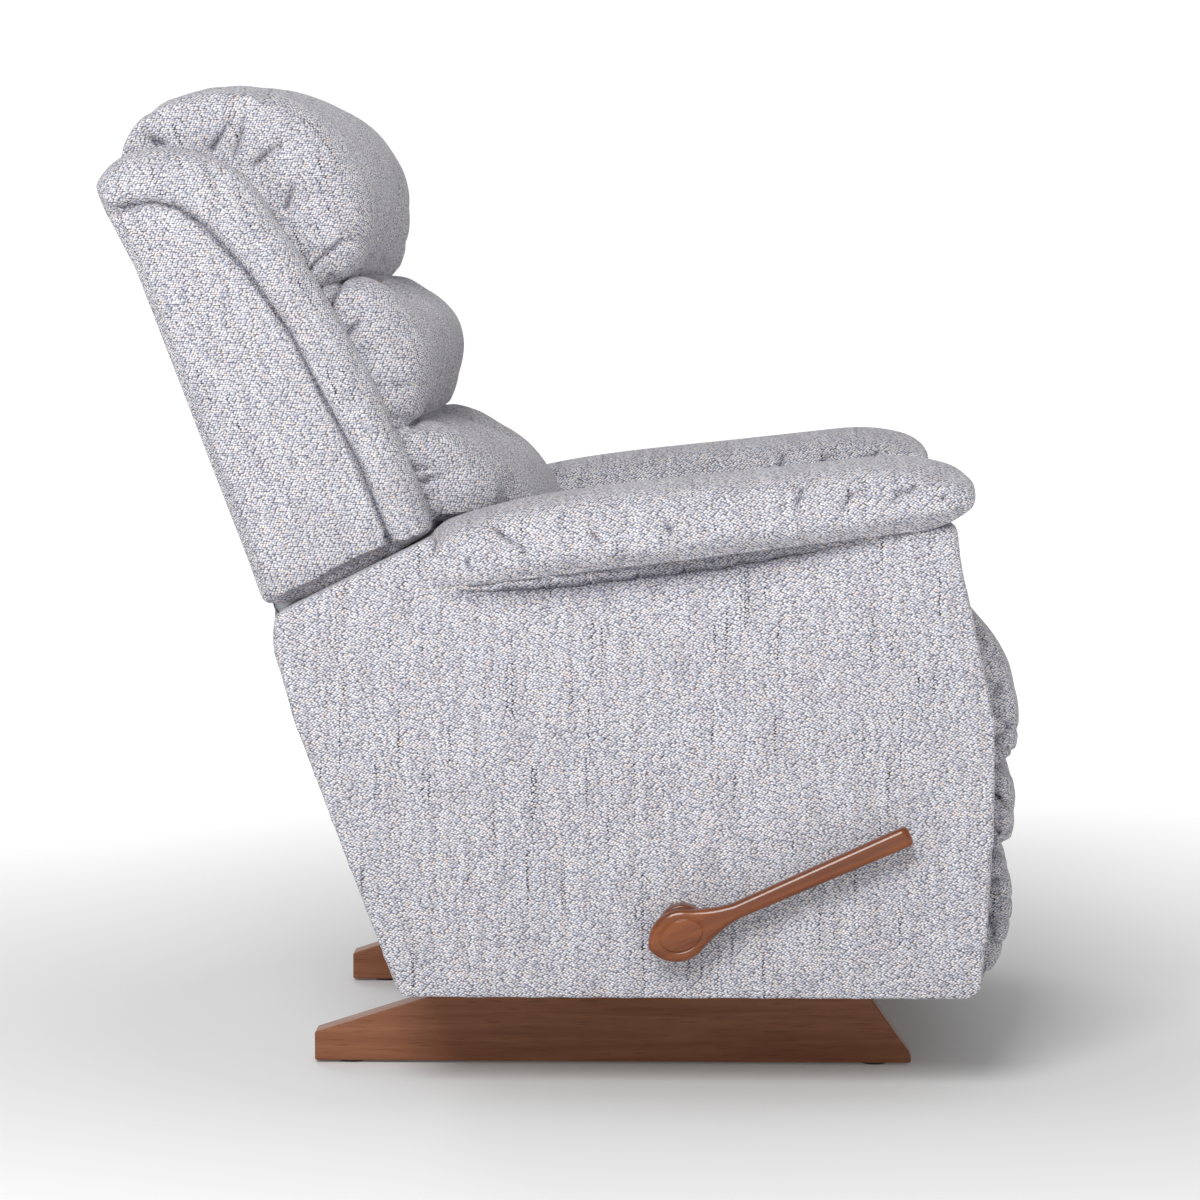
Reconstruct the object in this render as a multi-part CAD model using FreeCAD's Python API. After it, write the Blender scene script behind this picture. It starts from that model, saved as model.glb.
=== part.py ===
import FreeCAD, Part
import math
import os

# Rocking recliner. Millimetres: X forward, Y to the sitter's left, Z up, floor at Z 0.
# The chair body rocks on a wooden base, its back reclines, and a side lever swings out the footrest.

V = FreeCAD.Vector

# Fits
RUNNING = 0.06              # radial clearance of a turning pin
SEAM = 0.4                  # gap between neighbouring upholstered pieces
HEAD_RISE = 1.6             # thickness of a rivet head
HEAD_EXTRA = 4.0            # how far a rivet head overlaps its bar all round

# Widths
ARM_INNER = 272.0           # half the room between the arm boxes
ARM_WIDTH = 160.0
ARM_OUTER = ARM_INNER + ARM_WIDTH
RAIL_SET_IN = 18.0          # base rails inside the arm boxes
RAIL_OUTER = ARM_INNER - RAIL_SET_IN
SPRING_SET_IN = 68.0        # rocker springs inside the rails
SPRING_OUT = RAIL_OUTER - SPRING_SET_IN
LINKAGE_SET_IN = 106.0      # innermost bars inside the arm boxes
BAR_INNERMOST = ARM_INNER - LINKAGE_SET_IN

# Base
GLIDE_HEIGHT = 2.5
GLIDE_RADIUS = 14.0
RAIL_REAR = -282.0
RAIL_FRONT = 371.0
RAIL_TOP = 85.0
RAIL_THICK = 36.0
RAIL_REAR_HEIGHT = 34.0     # height of the blunt rear end
RAIL_REAR_SLOPE = 160.0     # length of the long bevel behind
RAIL_FRONT_HEIGHT = 12.0
RAIL_FRONT_SLOPE = 52.0
BASE_CROSS_REAR = -132.0    # middles of the two cross rails
BASE_CROSS_FRONT = 268.0
BASE_CROSS_THICK = 36.0
BASE_CROSS_LOW = 12.0
BASE_CROSS_HIGH = 72.0
CORNER_LEG = 40.0
CORNER_HEIGHT = 36.0
CORNER_THICK = 3.0

# Rocking
ROCK_X = 45.0
ROCK_Z = 140.0
ROCK_FORWARD = 6.0          # degrees
ROCK_BACK = 8.0
ROCK_EASE = 0.3             # further relief of the cam's two ramps, in degrees
CAM_GAP = 0.3
SPRING_RADIUS = 19.0
SPRING_WIRE = 2.8
SPRING_TURNS = 5
SEAT_PLATE = 4.0
LOWER_SEAT_TOP = 42.0
SPRING_SEAT_LENGTH = 52.0
SPRING_SEAT_FLANGE = 24.0

# Chair body
INNER_WALL = 28.0
OUTER_WALL = 20.0
EDGE_WALL = 24.0
SIDE_BOARD = 18.0
SIDE_BOTTOM = 108.0
SIDE_REAR_BOTTOM = -165.0
SIDE_FRONT = 445.0
SIDE_EDGE_ROUND = 14.0
ARM_STEP = 3.0              # from the wing's lower front corner to the arm pad
ARM_REAR_Z = 538.0
ARM_FRONT = 404.0
ARM_FRONT_Z = 606.0
BODY_CROSS_LOW = 120.0
BODY_CROSS_HIGH = 160.0
BODY_CROSS_THICK = 40.0
BODY_CROSS_FRONT = 285.0
BODY_CROSS_REAR = -130.0
REAR_COVER_THICK = 12.0

# Arm pads
PAD_OVERHANG_IN = 10.0
PAD_OVERHANG_OUT = 38.0
PAD_INNER = ARM_INNER - PAD_OVERHANG_IN
PAD_OUTER = ARM_OUTER + PAD_OVERHANG_OUT
PAD_NOSE = 424.0
PAD_SWELL = 3.0             # how far the pad may bulge past its faces

# Back, in its own frame: N forward of the rear face, S up along it
BACK_TILT = 21.4
BACK_FOOT_X = -313.0
BACK_FOOT_Z = 523.0
BACK_GAP = 4.0              # between the back's lower edge and the body
WING_LOWER_S = -12.0
WING_LOWER_FRONT_S = 5.0
WING_DEPTH = 188.0
WING_SET_IN = 54.0          # wing behind the arm box's inner and outer face
WING_SET_OUT = 24.0
WING_INNER = ARM_INNER + WING_SET_IN
WING_OUTER = ARM_OUTER - WING_SET_OUT
HINGE_N = 14.0
HINGE_S = 2.0
HINGE_PIN = 6.0
HINGE_EYE = 14.0
HINGE_PLATE = 3.0
HINGE_PLATE_DROP = 130.0
HINGE_PLATE_FOOT = 44.0
STRAP_THICK = 4.0
STRAP_LENGTH = 150.0
STRAP_WIDTH = 30.0
STRAP_PLAY = 3.0            # between strap and hinge plate
STILE_WIDTH = 35.0
FRAME_N = 14.0
FRAME_DEPTH = 36.0
FRAME_TOP_S = 466.0
FRAME_FOOT_S = 18.0
BACK_RAIL = 40.0
BACK_RAIL_MIDDLE_S = 245.0
HEAD_SPLIT_S = 284.0        # crease between head and middle pillow
LOWER_SPLIT_S = 107.0       # crease between middle and lower pillow
LOWER_REST_Z = 497.0        # where the lower pillow sits on the seat
ARM_ROOM = 7.0              # room between the lower pillow and the arms
REAR_PANEL = 10.0

# Seat
SEAT_SIDE_GAP = 6.0         # between the seat and the arm box
SEAT_HALF = ARM_INNER - SEAT_SIDE_GAP
SEAT_REAR = -212.0
SEAT_FRONT = 395.0
SEAT_RAIL_LOW = 376.0
SEAT_RAIL_HIGH = 420.0
SEAT_RAIL_THICK = 25.0
SEAT_RAIL_INSET = 2.0
SEAT_TOP = 488.0
SEAT_CROWN = 6.0
SEAT_CUSHION_FRONT = 412.0
SEAT_PIVOT_X = -170.0
SEAT_PIVOT_Z = 398.0
SEAT_PIVOT = 6.0

# Sinuous springs of seat and back
SINUOUS_WIRE = 1.8
SINUOUS_HALF = 22.0
SINUOUS_BEND = 9.0
SEAT_SPRINGS = 5
BACK_SPRINGS = 4

# Lever, drive rod and footrest linkage, pivots in X and Z with the footrest in
DRIVE = (121.0, 184.0)
SUPPORT = (285.0, 330.0)
BRACKET_PIVOT = (392.0, 352.0)
BAR_LENGTH = 190.0          # rear and front bar, pivot to pivot
GUIDE_PIVOT = (251.7, 285.9)
FRONT_TAIL = 25.0           # front bar beyond its pivot
REAR_TAIL = 26.8            # rear bar beyond its pivot
BRACKET_SECOND = (3.8, -20.0)   # second hole from the first
CRANK = 45.0
CRANK_ANGLE = -84.7
DRIVE_HOLE = 80.7           # along the rear bar from the support rod
LOWER_GUIDE = 196.0         # lengths of the guides and the drive link, pivot to loose hole
UPPER_GUIDE = 190.3
DRIVE_LINK = 235.7
BAR_HALF = 11.0
BAR_THICK = 4.0
BAR_STEP = 6.0              # from one layer of bars to the next
RIVET = 5.0
LOOSE = 5.5                 # radial play at the pivots left open
LOOSE_RIM = 4.0
ROD = 8.0
SUPPORT_ROD = 8.0
BUSH_WALL = 4.0
BUSH_LENGTH = 12.0
ROD_ROOM = 2.0              # free room round the drive rod in the arm box
PLATE_THICK = 4.0
PLATE_MARGIN = 38.0
BOLT_INSET = 11.0
BOLT = 4.0
BOLT_HEAD = 7.0
BOLT_HEAD_RISE = 4.0

# Lever
LEVER_ANGLE = 24.0
LEVER_REACH = 258.0
LEVER_HEAD_LONG = 37.0
LEVER_HEAD_WIDE = 24.0
LEVER_NECK_AT = 62.0
LEVER_NECK_HALF = 8.5
LEVER_END_HALF = 10.5
LEVER_THICK = 15.0
LEVER_STANDOFF = 22.0
LEVER_ROUND = 4.5
HUB_RADIUS = 24.0
HUB_GAP = 0.5
BADGE_LONG = 24.0
BADGE_WIDE = 15.5
BADGE_RISE = 0.8

# Footrest
BOARD_BACK = 421.0
BOARD_THICK = 18.0
BOARD_LOW = 92.0
BOARD_HIGH = 478.0
BRACKET_LEG = 46.0
BRACKET_FLANGE = 24.0
FOOT_PAD_LOW = 77.0
FOOT_PAD_HIGH = 500.0
FOOT_PAD_FRONT = 489.0
FOOT_CREASE_HIGH = 330.0
FOOT_CREASE_LOW = 234.0
FOOT_PAD_SIDE_GAP = 4.0     # inside the arm boxes' faces
FOOT_PAD_HALF = ARM_INNER - FOOT_PAD_SIDE_GAP
BOARD_INSET = 13.0          # board inside the ends of its pad
BOARD_HALF = FOOT_PAD_HALF - BOARD_INSET


def edges_of(start, steps, place):
    """Edges through start and steps: a step is a point, or a pair of arc middle and arc end."""
    here = start
    edges = []
    for step in steps:
        if isinstance(step[0], tuple):
            middle, end = step
            edges.append(Part.Arc(place(here), place(middle), place(end)).toShape())
        else:
            end = step
            edges.append(Part.LineSegment(place(here), place(end)).toShape())
        here = end
    return edges


def ring_y(y, start, *steps):
    """Closed wire in the plane at y, from points in X and Z."""
    end = steps[-1][1] if isinstance(steps[-1][0], tuple) else steps[-1]
    closing = () if end == start else (start,)
    return Part.Wire(edges_of(start, steps + closing, lambda p: V(p[0], y, p[1])))


def ring_x(x, start, *steps):
    """Closed wire in the plane at x, from points in Y and Z."""
    return Part.Wire(edges_of(start, steps, lambda p: V(x, p[0], p[1])))


def prism(y0, y1, start, *steps):
    """Outline in X and Z, drawn out from y0 to y1."""
    return Part.Face(ring_y(y0, start, *steps)).extrude(V(0, y1 - y0, 0))


def block(x0, x1, y0, y1, z0, z1):
    return Part.makeBox(x1 - x0, y1 - y0, z1 - z0, V(x0, y0, z0))


def rod(at, radius, y0, y1):
    """Round bar along Y through the point at, given in X and Z."""
    return Part.makeCylinder(radius, y1 - y0, V(at[0], y0, at[1]), V(0, 1, 0))


def mirrored(shape):
    return shape.mirror(V(0, 0, 0), V(0, 1, 0))


def loft(wires):
    return Part.makeLoft(wires, True, False)


def pair(shape):
    """The left piece and its right twin."""
    return [shape, mirrored(shape)]


def polar(at, length, degrees):
    turn = math.radians(degrees)
    return (at[0] + length * math.cos(turn), at[1] + length * math.sin(turn))


def heading(a, b):
    return math.degrees(math.atan2(b[1] - a[1], b[0] - a[0]))


def save(name, *solids):
    shape = solids[0] if len(solids) == 1 else Part.makeCompound(list(solids))
    shape.exportStep(f"parts/{name}.step")
    PIECES[name] = shape


def save_pair(name, left):
    save(name + "_left", left)
    save(name + "_right", mirrored(left))


PIECES = {}
os.makedirs("parts", exist_ok=True)

# Base: two wooden rails on glides, cross rails and steel corners
RAIL_INNER = RAIL_OUTER - RAIL_THICK
rail = prism(RAIL_INNER, RAIL_OUTER,
             (RAIL_REAR, GLIDE_HEIGHT), (RAIL_FRONT, GLIDE_HEIGHT), (RAIL_FRONT, RAIL_FRONT_HEIGHT),
             (RAIL_FRONT - RAIL_FRONT_SLOPE, RAIL_TOP), (RAIL_REAR + RAIL_REAR_SLOPE, RAIL_TOP),
             (RAIL_REAR, RAIL_REAR_HEIGHT))
save_pair("base_rail", rail)

cross_rails = [block(x - BASE_CROSS_THICK / 2, x + BASE_CROSS_THICK / 2, -RAIL_INNER, RAIL_INNER,
                     BASE_CROSS_LOW, BASE_CROSS_HIGH) for x in (BASE_CROSS_REAR, BASE_CROSS_FRONT)]
save("base_cross_rails", *cross_rails)

GLIDE_INSET = 40.0
glides = []
for x in (RAIL_REAR + GLIDE_INSET, RAIL_FRONT - GLIDE_INSET):
    glides += pair(Part.makeCylinder(GLIDE_RADIUS, GLIDE_HEIGHT, V(x, RAIL_OUTER - RAIL_THICK / 2, 0)))
save("floor_glides", *glides)


def corner(face_x, way):
    """Steel angle in the corner of a rail and the cross rail face at face_x, reaching along way."""
    low = (BASE_CROSS_LOW + BASE_CROSS_HIGH - CORNER_HEIGHT) / 2
    along = sorted((face_x, face_x + way * CORNER_LEG))
    across = sorted((face_x, face_x + way * CORNER_THICK))
    on_rail = block(*along, RAIL_INNER - CORNER_THICK, RAIL_INNER, low, low + CORNER_HEIGHT)
    on_cross = block(*across, RAIL_INNER - CORNER_LEG, RAIL_INNER, low, low + CORNER_HEIGHT)
    return on_rail.fuse(on_cross).removeSplitter()


corners = pair(corner(BASE_CROSS_REAR + BASE_CROSS_THICK / 2, 1))
corners += pair(corner(BASE_CROSS_FRONT - BASE_CROSS_THICK / 2, -1))
save("base_corner_brackets", *corners)

# Rocker cams: a round nose about the rocking axis, with a ramp each way that lands on the rail
NOSE = ROCK_Z - RAIL_TOP - CAM_GAP
CAM_REAR = BODY_CROSS_REAR + BODY_CROSS_THICK / 2
CAM_FRONT = BODY_CROSS_FRONT - BODY_CROSS_THICK / 2
FRONT_RAMP = math.radians(ROCK_FORWARD + ROCK_EASE)
REAR_RAMP = math.radians(ROCK_BACK + ROCK_EASE)
nose_front = (ROCK_X + NOSE * math.sin(FRONT_RAMP), ROCK_Z - NOSE * math.cos(FRONT_RAMP))
nose_rear = (ROCK_X - NOSE * math.sin(REAR_RAMP), ROCK_Z - NOSE * math.cos(REAR_RAMP))
cam = prism(RAIL_INNER, RAIL_OUTER,
            (CAM_REAR, BODY_CROSS_HIGH),
            (CAM_REAR, nose_rear[1] + (nose_rear[0] - CAM_REAR) * math.tan(REAR_RAMP)),
            nose_rear, ((ROCK_X, ROCK_Z - NOSE), nose_front),
            (CAM_FRONT, nose_front[1] + (CAM_FRONT - nose_front[0]) * math.tan(FRONT_RAMP)),
            (CAM_FRONT, BODY_CROSS_HIGH))
save_pair("rocker_cam", cam)


def spring_seat(top, flange_way):
    """Steel angle whose flat top or bottom carries a rocker spring beside the rail."""
    x0, x1 = ROCK_X - SPRING_SEAT_LENGTH / 2, ROCK_X + SPRING_SEAT_LENGTH / 2
    inner = SPRING_OUT - SPRING_SEAT_LENGTH / 2
    shelf = block(x0, x1, inner, RAIL_INNER, top - SEAT_PLATE, top)
    z = sorted((top - SEAT_PLATE / 2, top + flange_way * SPRING_SEAT_FLANGE))
    flange = block(x0, x1, RAIL_INNER - SEAT_PLATE, RAIL_INNER, *z)
    return shelf.fuse(flange).removeSplitter()


UPPER_SEAT_TOP = ROCK_Z + SEAT_PLATE
save("lower_spring_seats", *pair(spring_seat(LOWER_SEAT_TOP, -1)))
save("upper_spring_seats", *pair(spring_seat(UPPER_SEAT_TOP, -0.8)))


def coil(axis_x, axis_y, low, high):
    """Compression spring: half turns of a helix as smooth arcs, with both ends inside its height."""
    climb = high - low - 2 * SPRING_WIRE - 2 * SEAM
    start = low + SPRING_WIRE + SEAM
    halves = 2 * SPRING_TURNS

    def at(half_turns):
        turn = math.pi * half_turns
        return V(axis_x + SPRING_RADIUS * math.cos(turn), axis_y + SPRING_RADIUS * math.sin(turn),
                 start + climb * half_turns / halves)

    quarters = 2 * halves
    arcs = [Part.Arc(at(q / 2), at(q / 2 + 0.25), at(q / 2 + 0.5)).toShape() for q in range(quarters)]
    path = Part.Wire(arcs)
    tangent = arcs[0].tangentAt(arcs[0].FirstParameter)
    section = Part.Wire(Part.makeCircle(SPRING_WIRE, at(0), tangent))
    return path.makePipeShell([section], True, False)


save("rocker_springs", *pair(coil(ROCK_X, SPRING_OUT, LOWER_SEAT_TOP, ROCK_Z)))
pitch = (ROCK_Z - LOWER_SEAT_TOP - 2 * SPRING_WIRE - 2 * SEAM) / SPRING_TURNS
print("rocker spring: least gap between turns", round(pitch - 2 * SPRING_WIRE, 2))


# Back frame of reference
def to_back(shape):
    """Moves a shape drawn in N (as X) and S (as Z) to its place on the tilted back."""
    moved = shape.copy()
    moved.rotate(V(0, 0, 0), V(0, 1, 0), -BACK_TILT)
    moved.translate(V(BACK_FOOT_X, 0, BACK_FOOT_Z))
    return moved


def back_point(n, s):
    """X and Z of a point of the back."""
    tilt = math.radians(BACK_TILT)
    return (BACK_FOOT_X + n * math.cos(tilt) - s * math.sin(tilt),
            BACK_FOOT_Z + n * math.sin(tilt) + s * math.cos(tilt))


HINGE = back_point(HINGE_N, HINGE_S)

# Linkage pivots with the footrest in
half_span = math.dist(SUPPORT, BRACKET_PIVOT) / 2
span_heading = heading(SUPPORT, BRACKET_PIVOT)
KNEE = polar(SUPPORT, BAR_LENGTH, span_heading - math.degrees(math.acos(half_span / BAR_LENGTH)))
REAR_HEADING = heading(SUPPORT, KNEE)
FRONT_HEADING = heading(KNEE, BRACKET_PIVOT)
REAR_END = polar(KNEE, REAR_TAIL, REAR_HEADING)
FRONT_END = polar(KNEE, -FRONT_TAIL, FRONT_HEADING)
DRIVE_JOINT = polar(SUPPORT, DRIVE_HOLE, REAR_HEADING)
CRANK_END = polar(DRIVE, CRANK, CRANK_ANGLE)
BRACKET_JOINT = (BRACKET_PIVOT[0] + BRACKET_SECOND[0], BRACKET_PIVOT[1] + BRACKET_SECOND[1])


def layer(number):
    """Inner and outer Y of a layer of bars."""
    inner = BAR_INNERMOST + number * BAR_STEP
    return inner, inner + BAR_THICK


GUIDE_LAYER, FRONT_LAYER, REAR_LAYER, DRIVE_LAYER, CRANK_LAYER = (layer(i) for i in range(5))


def bar(points, holes, where, half=BAR_HALF):
    """Flat steel bar with round ends along points, and holes as (point, radius)."""
    first, last = points[0], points[-1]
    along = heading(first, last)
    a0, a1 = polar(first, half, along + 90), polar(last, half, along + 90)
    b0, b1 = polar(first, half, along - 90), polar(last, half, along - 90)
    shape = prism(*where, a0, a1, (polar(last, half, along), b1), b0, (polar(first, half, along + 180), a0))
    for at, radius in holes:
        shape = shape.cut(rod(at, radius, where[0] - 1, where[1] + 1))
    return shape


def rivet(at, inner, outer, outer_head=RIVET + HEAD_EXTRA):
    """Pin through two layers with a low head inside, and one outside unless it ends flush there."""
    heads = [rod(at, RIVET + HEAD_EXTRA, inner - HEAD_RISE, inner)]
    if outer_head:
        heads.append(rod(at, outer_head, outer, outer + HEAD_RISE))
    return rod(at, RIVET, inner, outer).fuse(heads).removeSplitter()


TURNS = RIVET + RUNNING
OPEN = RIVET + LOOSE
rear_link = bar([SUPPORT, REAR_END], [(SUPPORT, SUPPORT_ROD + RUNNING), (DRIVE_JOINT, RIVET), (KNEE, RIVET),
                                      (REAR_END, RIVET)], REAR_LAYER, BAR_HALF + 2)
front_link = bar([FRONT_END, BRACKET_PIVOT], [(FRONT_END, RIVET), (KNEE, TURNS), (BRACKET_PIVOT, RIVET)],
                 FRONT_LAYER)


def loose_link(pivot, towards, length, where):
    """Bar that turns on a pin at pivot and has a loose hole at its far end."""
    far = polar(pivot, length, heading(pivot, towards))
    return bar([pivot, far], [(pivot, TURNS), (far, OPEN)], where, OPEN + LOOSE_RIM)


lower_guide = loose_link(GUIDE_PIVOT, FRONT_END, LOWER_GUIDE, GUIDE_LAYER)
upper_guide = loose_link(REAR_END, BRACKET_JOINT, UPPER_GUIDE, DRIVE_LAYER)
drive_link = loose_link(CRANK_END, DRIVE_JOINT, DRIVE_LINK, DRIVE_LAYER)
save_pair("rear_leg_link", rear_link)
save_pair("front_leg_link", front_link)
save("lower_guide_links", *pair(lower_guide))
save("upper_guide_links", *pair(upper_guide))
save("drive_links", *pair(drive_link))
rear_rivets = (pair(rivet(KNEE, FRONT_LAYER[0], REAR_LAYER[1]))
               + pair(rivet(REAR_END, REAR_LAYER[0], DRIVE_LAYER[1]))
               + pair(rivet(DRIVE_JOINT, REAR_LAYER[0], DRIVE_LAYER[1])))
save("rear_link_rivets", *rear_rivets)
front_rivets = (pair(rivet(BRACKET_PIVOT, FRONT_LAYER[0], REAR_LAYER[1]))
                + pair(rivet(FRONT_END, GUIDE_LAYER[0], FRONT_LAYER[1], 0)))
save("front_link_rivets", *front_rivets)

# Drive rod: square between its two round journals, with a crank each side
PLATE_INNER = ARM_INNER - PLATE_THICK
ROD_END = ARM_OUTER + HUB_GAP
side = ROD * math.sqrt(2) - 0.6
JOURNAL_INNER = PLATE_INNER - BUSH_LENGTH / 2
square = block(DRIVE[0] - side / 2, DRIVE[0] + side / 2, -JOURNAL_INNER, JOURNAL_INNER,
               DRIVE[1] - side / 2, DRIVE[1] + side / 2)
left_journal = rod(DRIVE, ROD, JOURNAL_INNER, ARM_INNER + INNER_WALL / 2)
right_journal = rod(DRIVE, ROD, -ROD_END, -JOURNAL_INNER)
drive_rod = square.fuse([left_journal, right_journal]).removeSplitter()
save("drive_rod", drive_rod)

crank = bar([DRIVE, CRANK_END], [], CRANK_LAYER, BAR_HALF + 3).cut(square)
crank = crank.fuse(rod(CRANK_END, RIVET, DRIVE_LAYER[0], CRANK_LAYER[0]))
crank = crank.fuse(rod(CRANK_END, RIVET + HEAD_EXTRA, DRIVE_LAYER[0] - HEAD_RISE, DRIVE_LAYER[0]))
save("drive_cranks", *pair(crank.removeSplitter()))

# Steel side plates with the bushes, the support rod and the guide studs
low_x = DRIVE[0] - PLATE_MARGIN
high_x = SUPPORT[0] + PLATE_MARGIN
low_z = DRIVE[1] - PLATE_MARGIN / 2
high_z = SUPPORT[1] + PLATE_MARGIN
PLATE_STEP_X = (DRIVE[0] + SUPPORT[0]) / 2
plate = prism(PLATE_INNER, ARM_INNER, (low_x, low_z), (high_x, low_z), (high_x, high_z),
              (PLATE_STEP_X, high_z), (low_x, DRIVE[1] + PLATE_MARGIN))
bolt_points = [(low_x + BOLT_INSET, low_z + BOLT_INSET), (high_x - BOLT_INSET, low_z + BOLT_INSET),
               (high_x - BOLT_INSET, high_z - BOLT_INSET), (PLATE_STEP_X + BOLT_INSET, high_z - BOLT_INSET)]
BUSH = ROD + RUNNING + BUSH_WALL
plate = plate.cut(rod(DRIVE, BUSH, PLATE_INNER - 1, ARM_INNER + 1))
plate = plate.cut(rod(SUPPORT, SUPPORT_ROD, PLATE_INNER - 1, ARM_INNER + 1))
plate = plate.cut(rod(GUIDE_PIVOT, RIVET, PLATE_INNER - 1, ARM_INNER + 1))
for at in bolt_points:
    plate = plate.cut(rod(at, BOLT, PLATE_INNER - 1, ARM_INNER + 1))
save_pair("mechanism_plate", plate)

bush = rod(DRIVE, BUSH, ARM_INNER - BUSH_LENGTH / 2 - PLATE_THICK / 2, ARM_INNER)
bush = bush.fuse(rod(DRIVE, BUSH + 3, PLATE_INNER - 3, PLATE_INNER))
bush = bush.cut(rod(DRIVE, ROD + RUNNING, PLATE_INNER - BUSH_LENGTH, ARM_INNER + 1)).removeSplitter()
save("rod_bushes", *pair(bush))
save("support_rod", rod(SUPPORT, SUPPORT_ROD, -ARM_INNER, ARM_INNER))
stud = rod(GUIDE_PIVOT, RIVET, GUIDE_LAYER[0], ARM_INNER)
stud = stud.fuse(rod(GUIDE_PIVOT, RIVET + HEAD_EXTRA, GUIDE_LAYER[0] - HEAD_RISE, GUIDE_LAYER[0]))
stud = stud.fuse(rod(GUIDE_PIVOT, RIVET + HEAD_EXTRA, GUIDE_LAYER[1] + SEAM, GUIDE_LAYER[1] + HEAD_RISE))
save("guide_studs", *pair(stud.removeSplitter()))

BOARD_INNER = ARM_INNER + INNER_WALL
BOARD_OUTER = BOARD_INNER + SIDE_BOARD
bolts = []
for at in bolt_points:
    bolt = rod(at, BOLT, PLATE_INNER, BOARD_OUTER)
    bolt = bolt.fuse(rod(at, BOLT_HEAD, PLATE_INNER - BOLT_HEAD_RISE, PLATE_INNER)).removeSplitter()
    bolts += pair(bolt)
save("mechanism_bolts", *bolts)

# Wooden cross rails of the body
body_cross = [block(x - BODY_CROSS_THICK / 2, x + BODY_CROSS_THICK / 2, -BOARD_INNER, BOARD_INNER,
                    BODY_CROSS_LOW, BODY_CROSS_HIGH) for x in (BODY_CROSS_REAR, BODY_CROSS_FRONT)]
save("rear_cross_rail", body_cross[0])
save("front_cross_rail", body_cross[1])

# Arm boxes: an upholstered shell round a plywood side board
EDGE_RISE = (WING_LOWER_FRONT_S - WING_LOWER_S) / WING_DEPTH


def edge_s(n):
    """Height along the back of the wing's lower edge."""
    return WING_LOWER_S + EDGE_RISE * n


TOP_REAR = back_point(0, edge_s(0) - BACK_GAP)
TOP_FRONT = back_point(WING_DEPTH, edge_s(WING_DEPTH) - BACK_GAP)
ARM_REAR = TOP_FRONT[0] + ARM_STEP


def arm_outline(inset):
    """Side outline of the arm box, drawn in by inset all round."""
    rear = TOP_REAR[0] + 2 + inset
    front = SIDE_FRONT - inset
    bottom = SIDE_BOTTOM + inset
    return ((SIDE_REAR_BOTTOM + inset * 1.1, bottom),
            (rear + 12, TOP_REAR[1] - 58),
            ((rear + 2, TOP_REAR[1] - 32), (rear, TOP_REAR[1] - inset * 0.9)),
            (ARM_REAR - inset * 0.6, TOP_FRONT[1] - inset * 1.3),
            (ARM_REAR, ARM_REAR_Z - inset),
            (ARM_FRONT - inset, ARM_FRONT_Z - inset),
            (ARM_FRONT + 5 - inset, ARM_FRONT_Z - 46),
            ((front - 17, ARM_FRONT_Z - 126), (front - 1, ARM_FRONT_Z - 201)),
            ((front, ARM_FRONT_Z - 300), (front - 11, bottom + 17)),
            ((front - 15, bottom + 5), (front - 22, bottom)))


def holes_through(shape, y0, y1, round_holes, extra=()):
    for at, radius in round_holes:
        shape = shape.cut(rod(at, radius, y0 - 1, y1 + 1))
    for other in extra:
        shape = shape.cut(other)
    return shape


def hinge_plate_outline():
    """Round eye at the back hinge with a tail down to the side board."""
    top = HINGE[1]
    foot = top - HINGE_PLATE_DROP
    x = HINGE[0]
    return ((x - HINGE_EYE, top), ((x, top + HINGE_EYE), (x + HINGE_EYE, top)),
            (x + HINGE_PLATE_FOOT, foot), (x + HINGE_PLATE_FOOT / 2, foot - 10), (x - HINGE_EYE, top - 40))


hinge_plate = prism(BOARD_OUTER, BOARD_OUTER + HINGE_PLATE, *hinge_plate_outline())
hinge_plate = hinge_plate.cut(rod(HINGE, HINGE_PIN, BOARD_OUTER - 1, BOARD_OUTER + HINGE_PLATE + 1))
save("back_hinge_plates", *pair(hinge_plate))

SEAT_PIVOT_AT = (SEAT_PIVOT_X, SEAT_PIVOT_Z)
bolt_holes = [(at, BOLT) for at in bolt_points]
side_holes = bolt_holes + [(SEAT_PIVOT_AT, SEAT_PIVOT)]
rod_hole = rod(DRIVE, BUSH + ROD_ROOM, ARM_INNER - 1, ARM_OUTER + 1)
PANEL_INNER = ARM_OUTER - OUTER_WALL


def borders():
    """Front, top and rear borders between the inner and the outer panel, open below."""
    rim = prism(BOARD_INNER, PANEL_INNER, *arm_outline(0))
    rim = rim.cut(prism(BOARD_INNER, PANEL_INNER, *arm_outline(EDGE_WALL))).cut(hinge_plate)
    rear_x, front_x = SIDE_REAR_BOTTOM + 2, ARM_FRONT - EDGE_WALL
    rear_z = TOP_REAR[1] - EDGE_WALL
    low, high = SIDE_BOTTOM - 1, ARM_FRONT_Z + EDGE_WALL
    rim = rim.cut(block(rear_x, front_x, BOARD_INNER, PANEL_INNER, low, SIDE_BOTTOM + EDGE_WALL + 1))
    spans = ((front_x, SIDE_FRONT + 1, low, high), (ARM_REAR, front_x, low, high),
             (TOP_REAR[0] - 1, ARM_REAR, rear_z, high), (TOP_REAR[0] - 1, ARM_REAR, low, rear_z))
    return [rim.common(block(x0, x1, BOARD_INNER, PANEL_INNER, z0, z1)) for x0, x1, z0, z1 in spans]


inner_panel = prism(ARM_INNER, BOARD_INNER, *arm_outline(0))
inner_panel = holes_through(inner_panel, ARM_INNER, BOARD_INNER, side_holes, body_cross + [rod_hole])
outer_panel = prism(PANEL_INNER, ARM_OUTER, *arm_outline(0))
border_panels = borders()
save("side_cover_left", inner_panel, outer_panel, *border_panels)
right_panels = [inner_panel, outer_panel.cut(rod_hole)] + border_panels
save("side_cover_right", *[mirrored(panel) for panel in right_panels])

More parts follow.
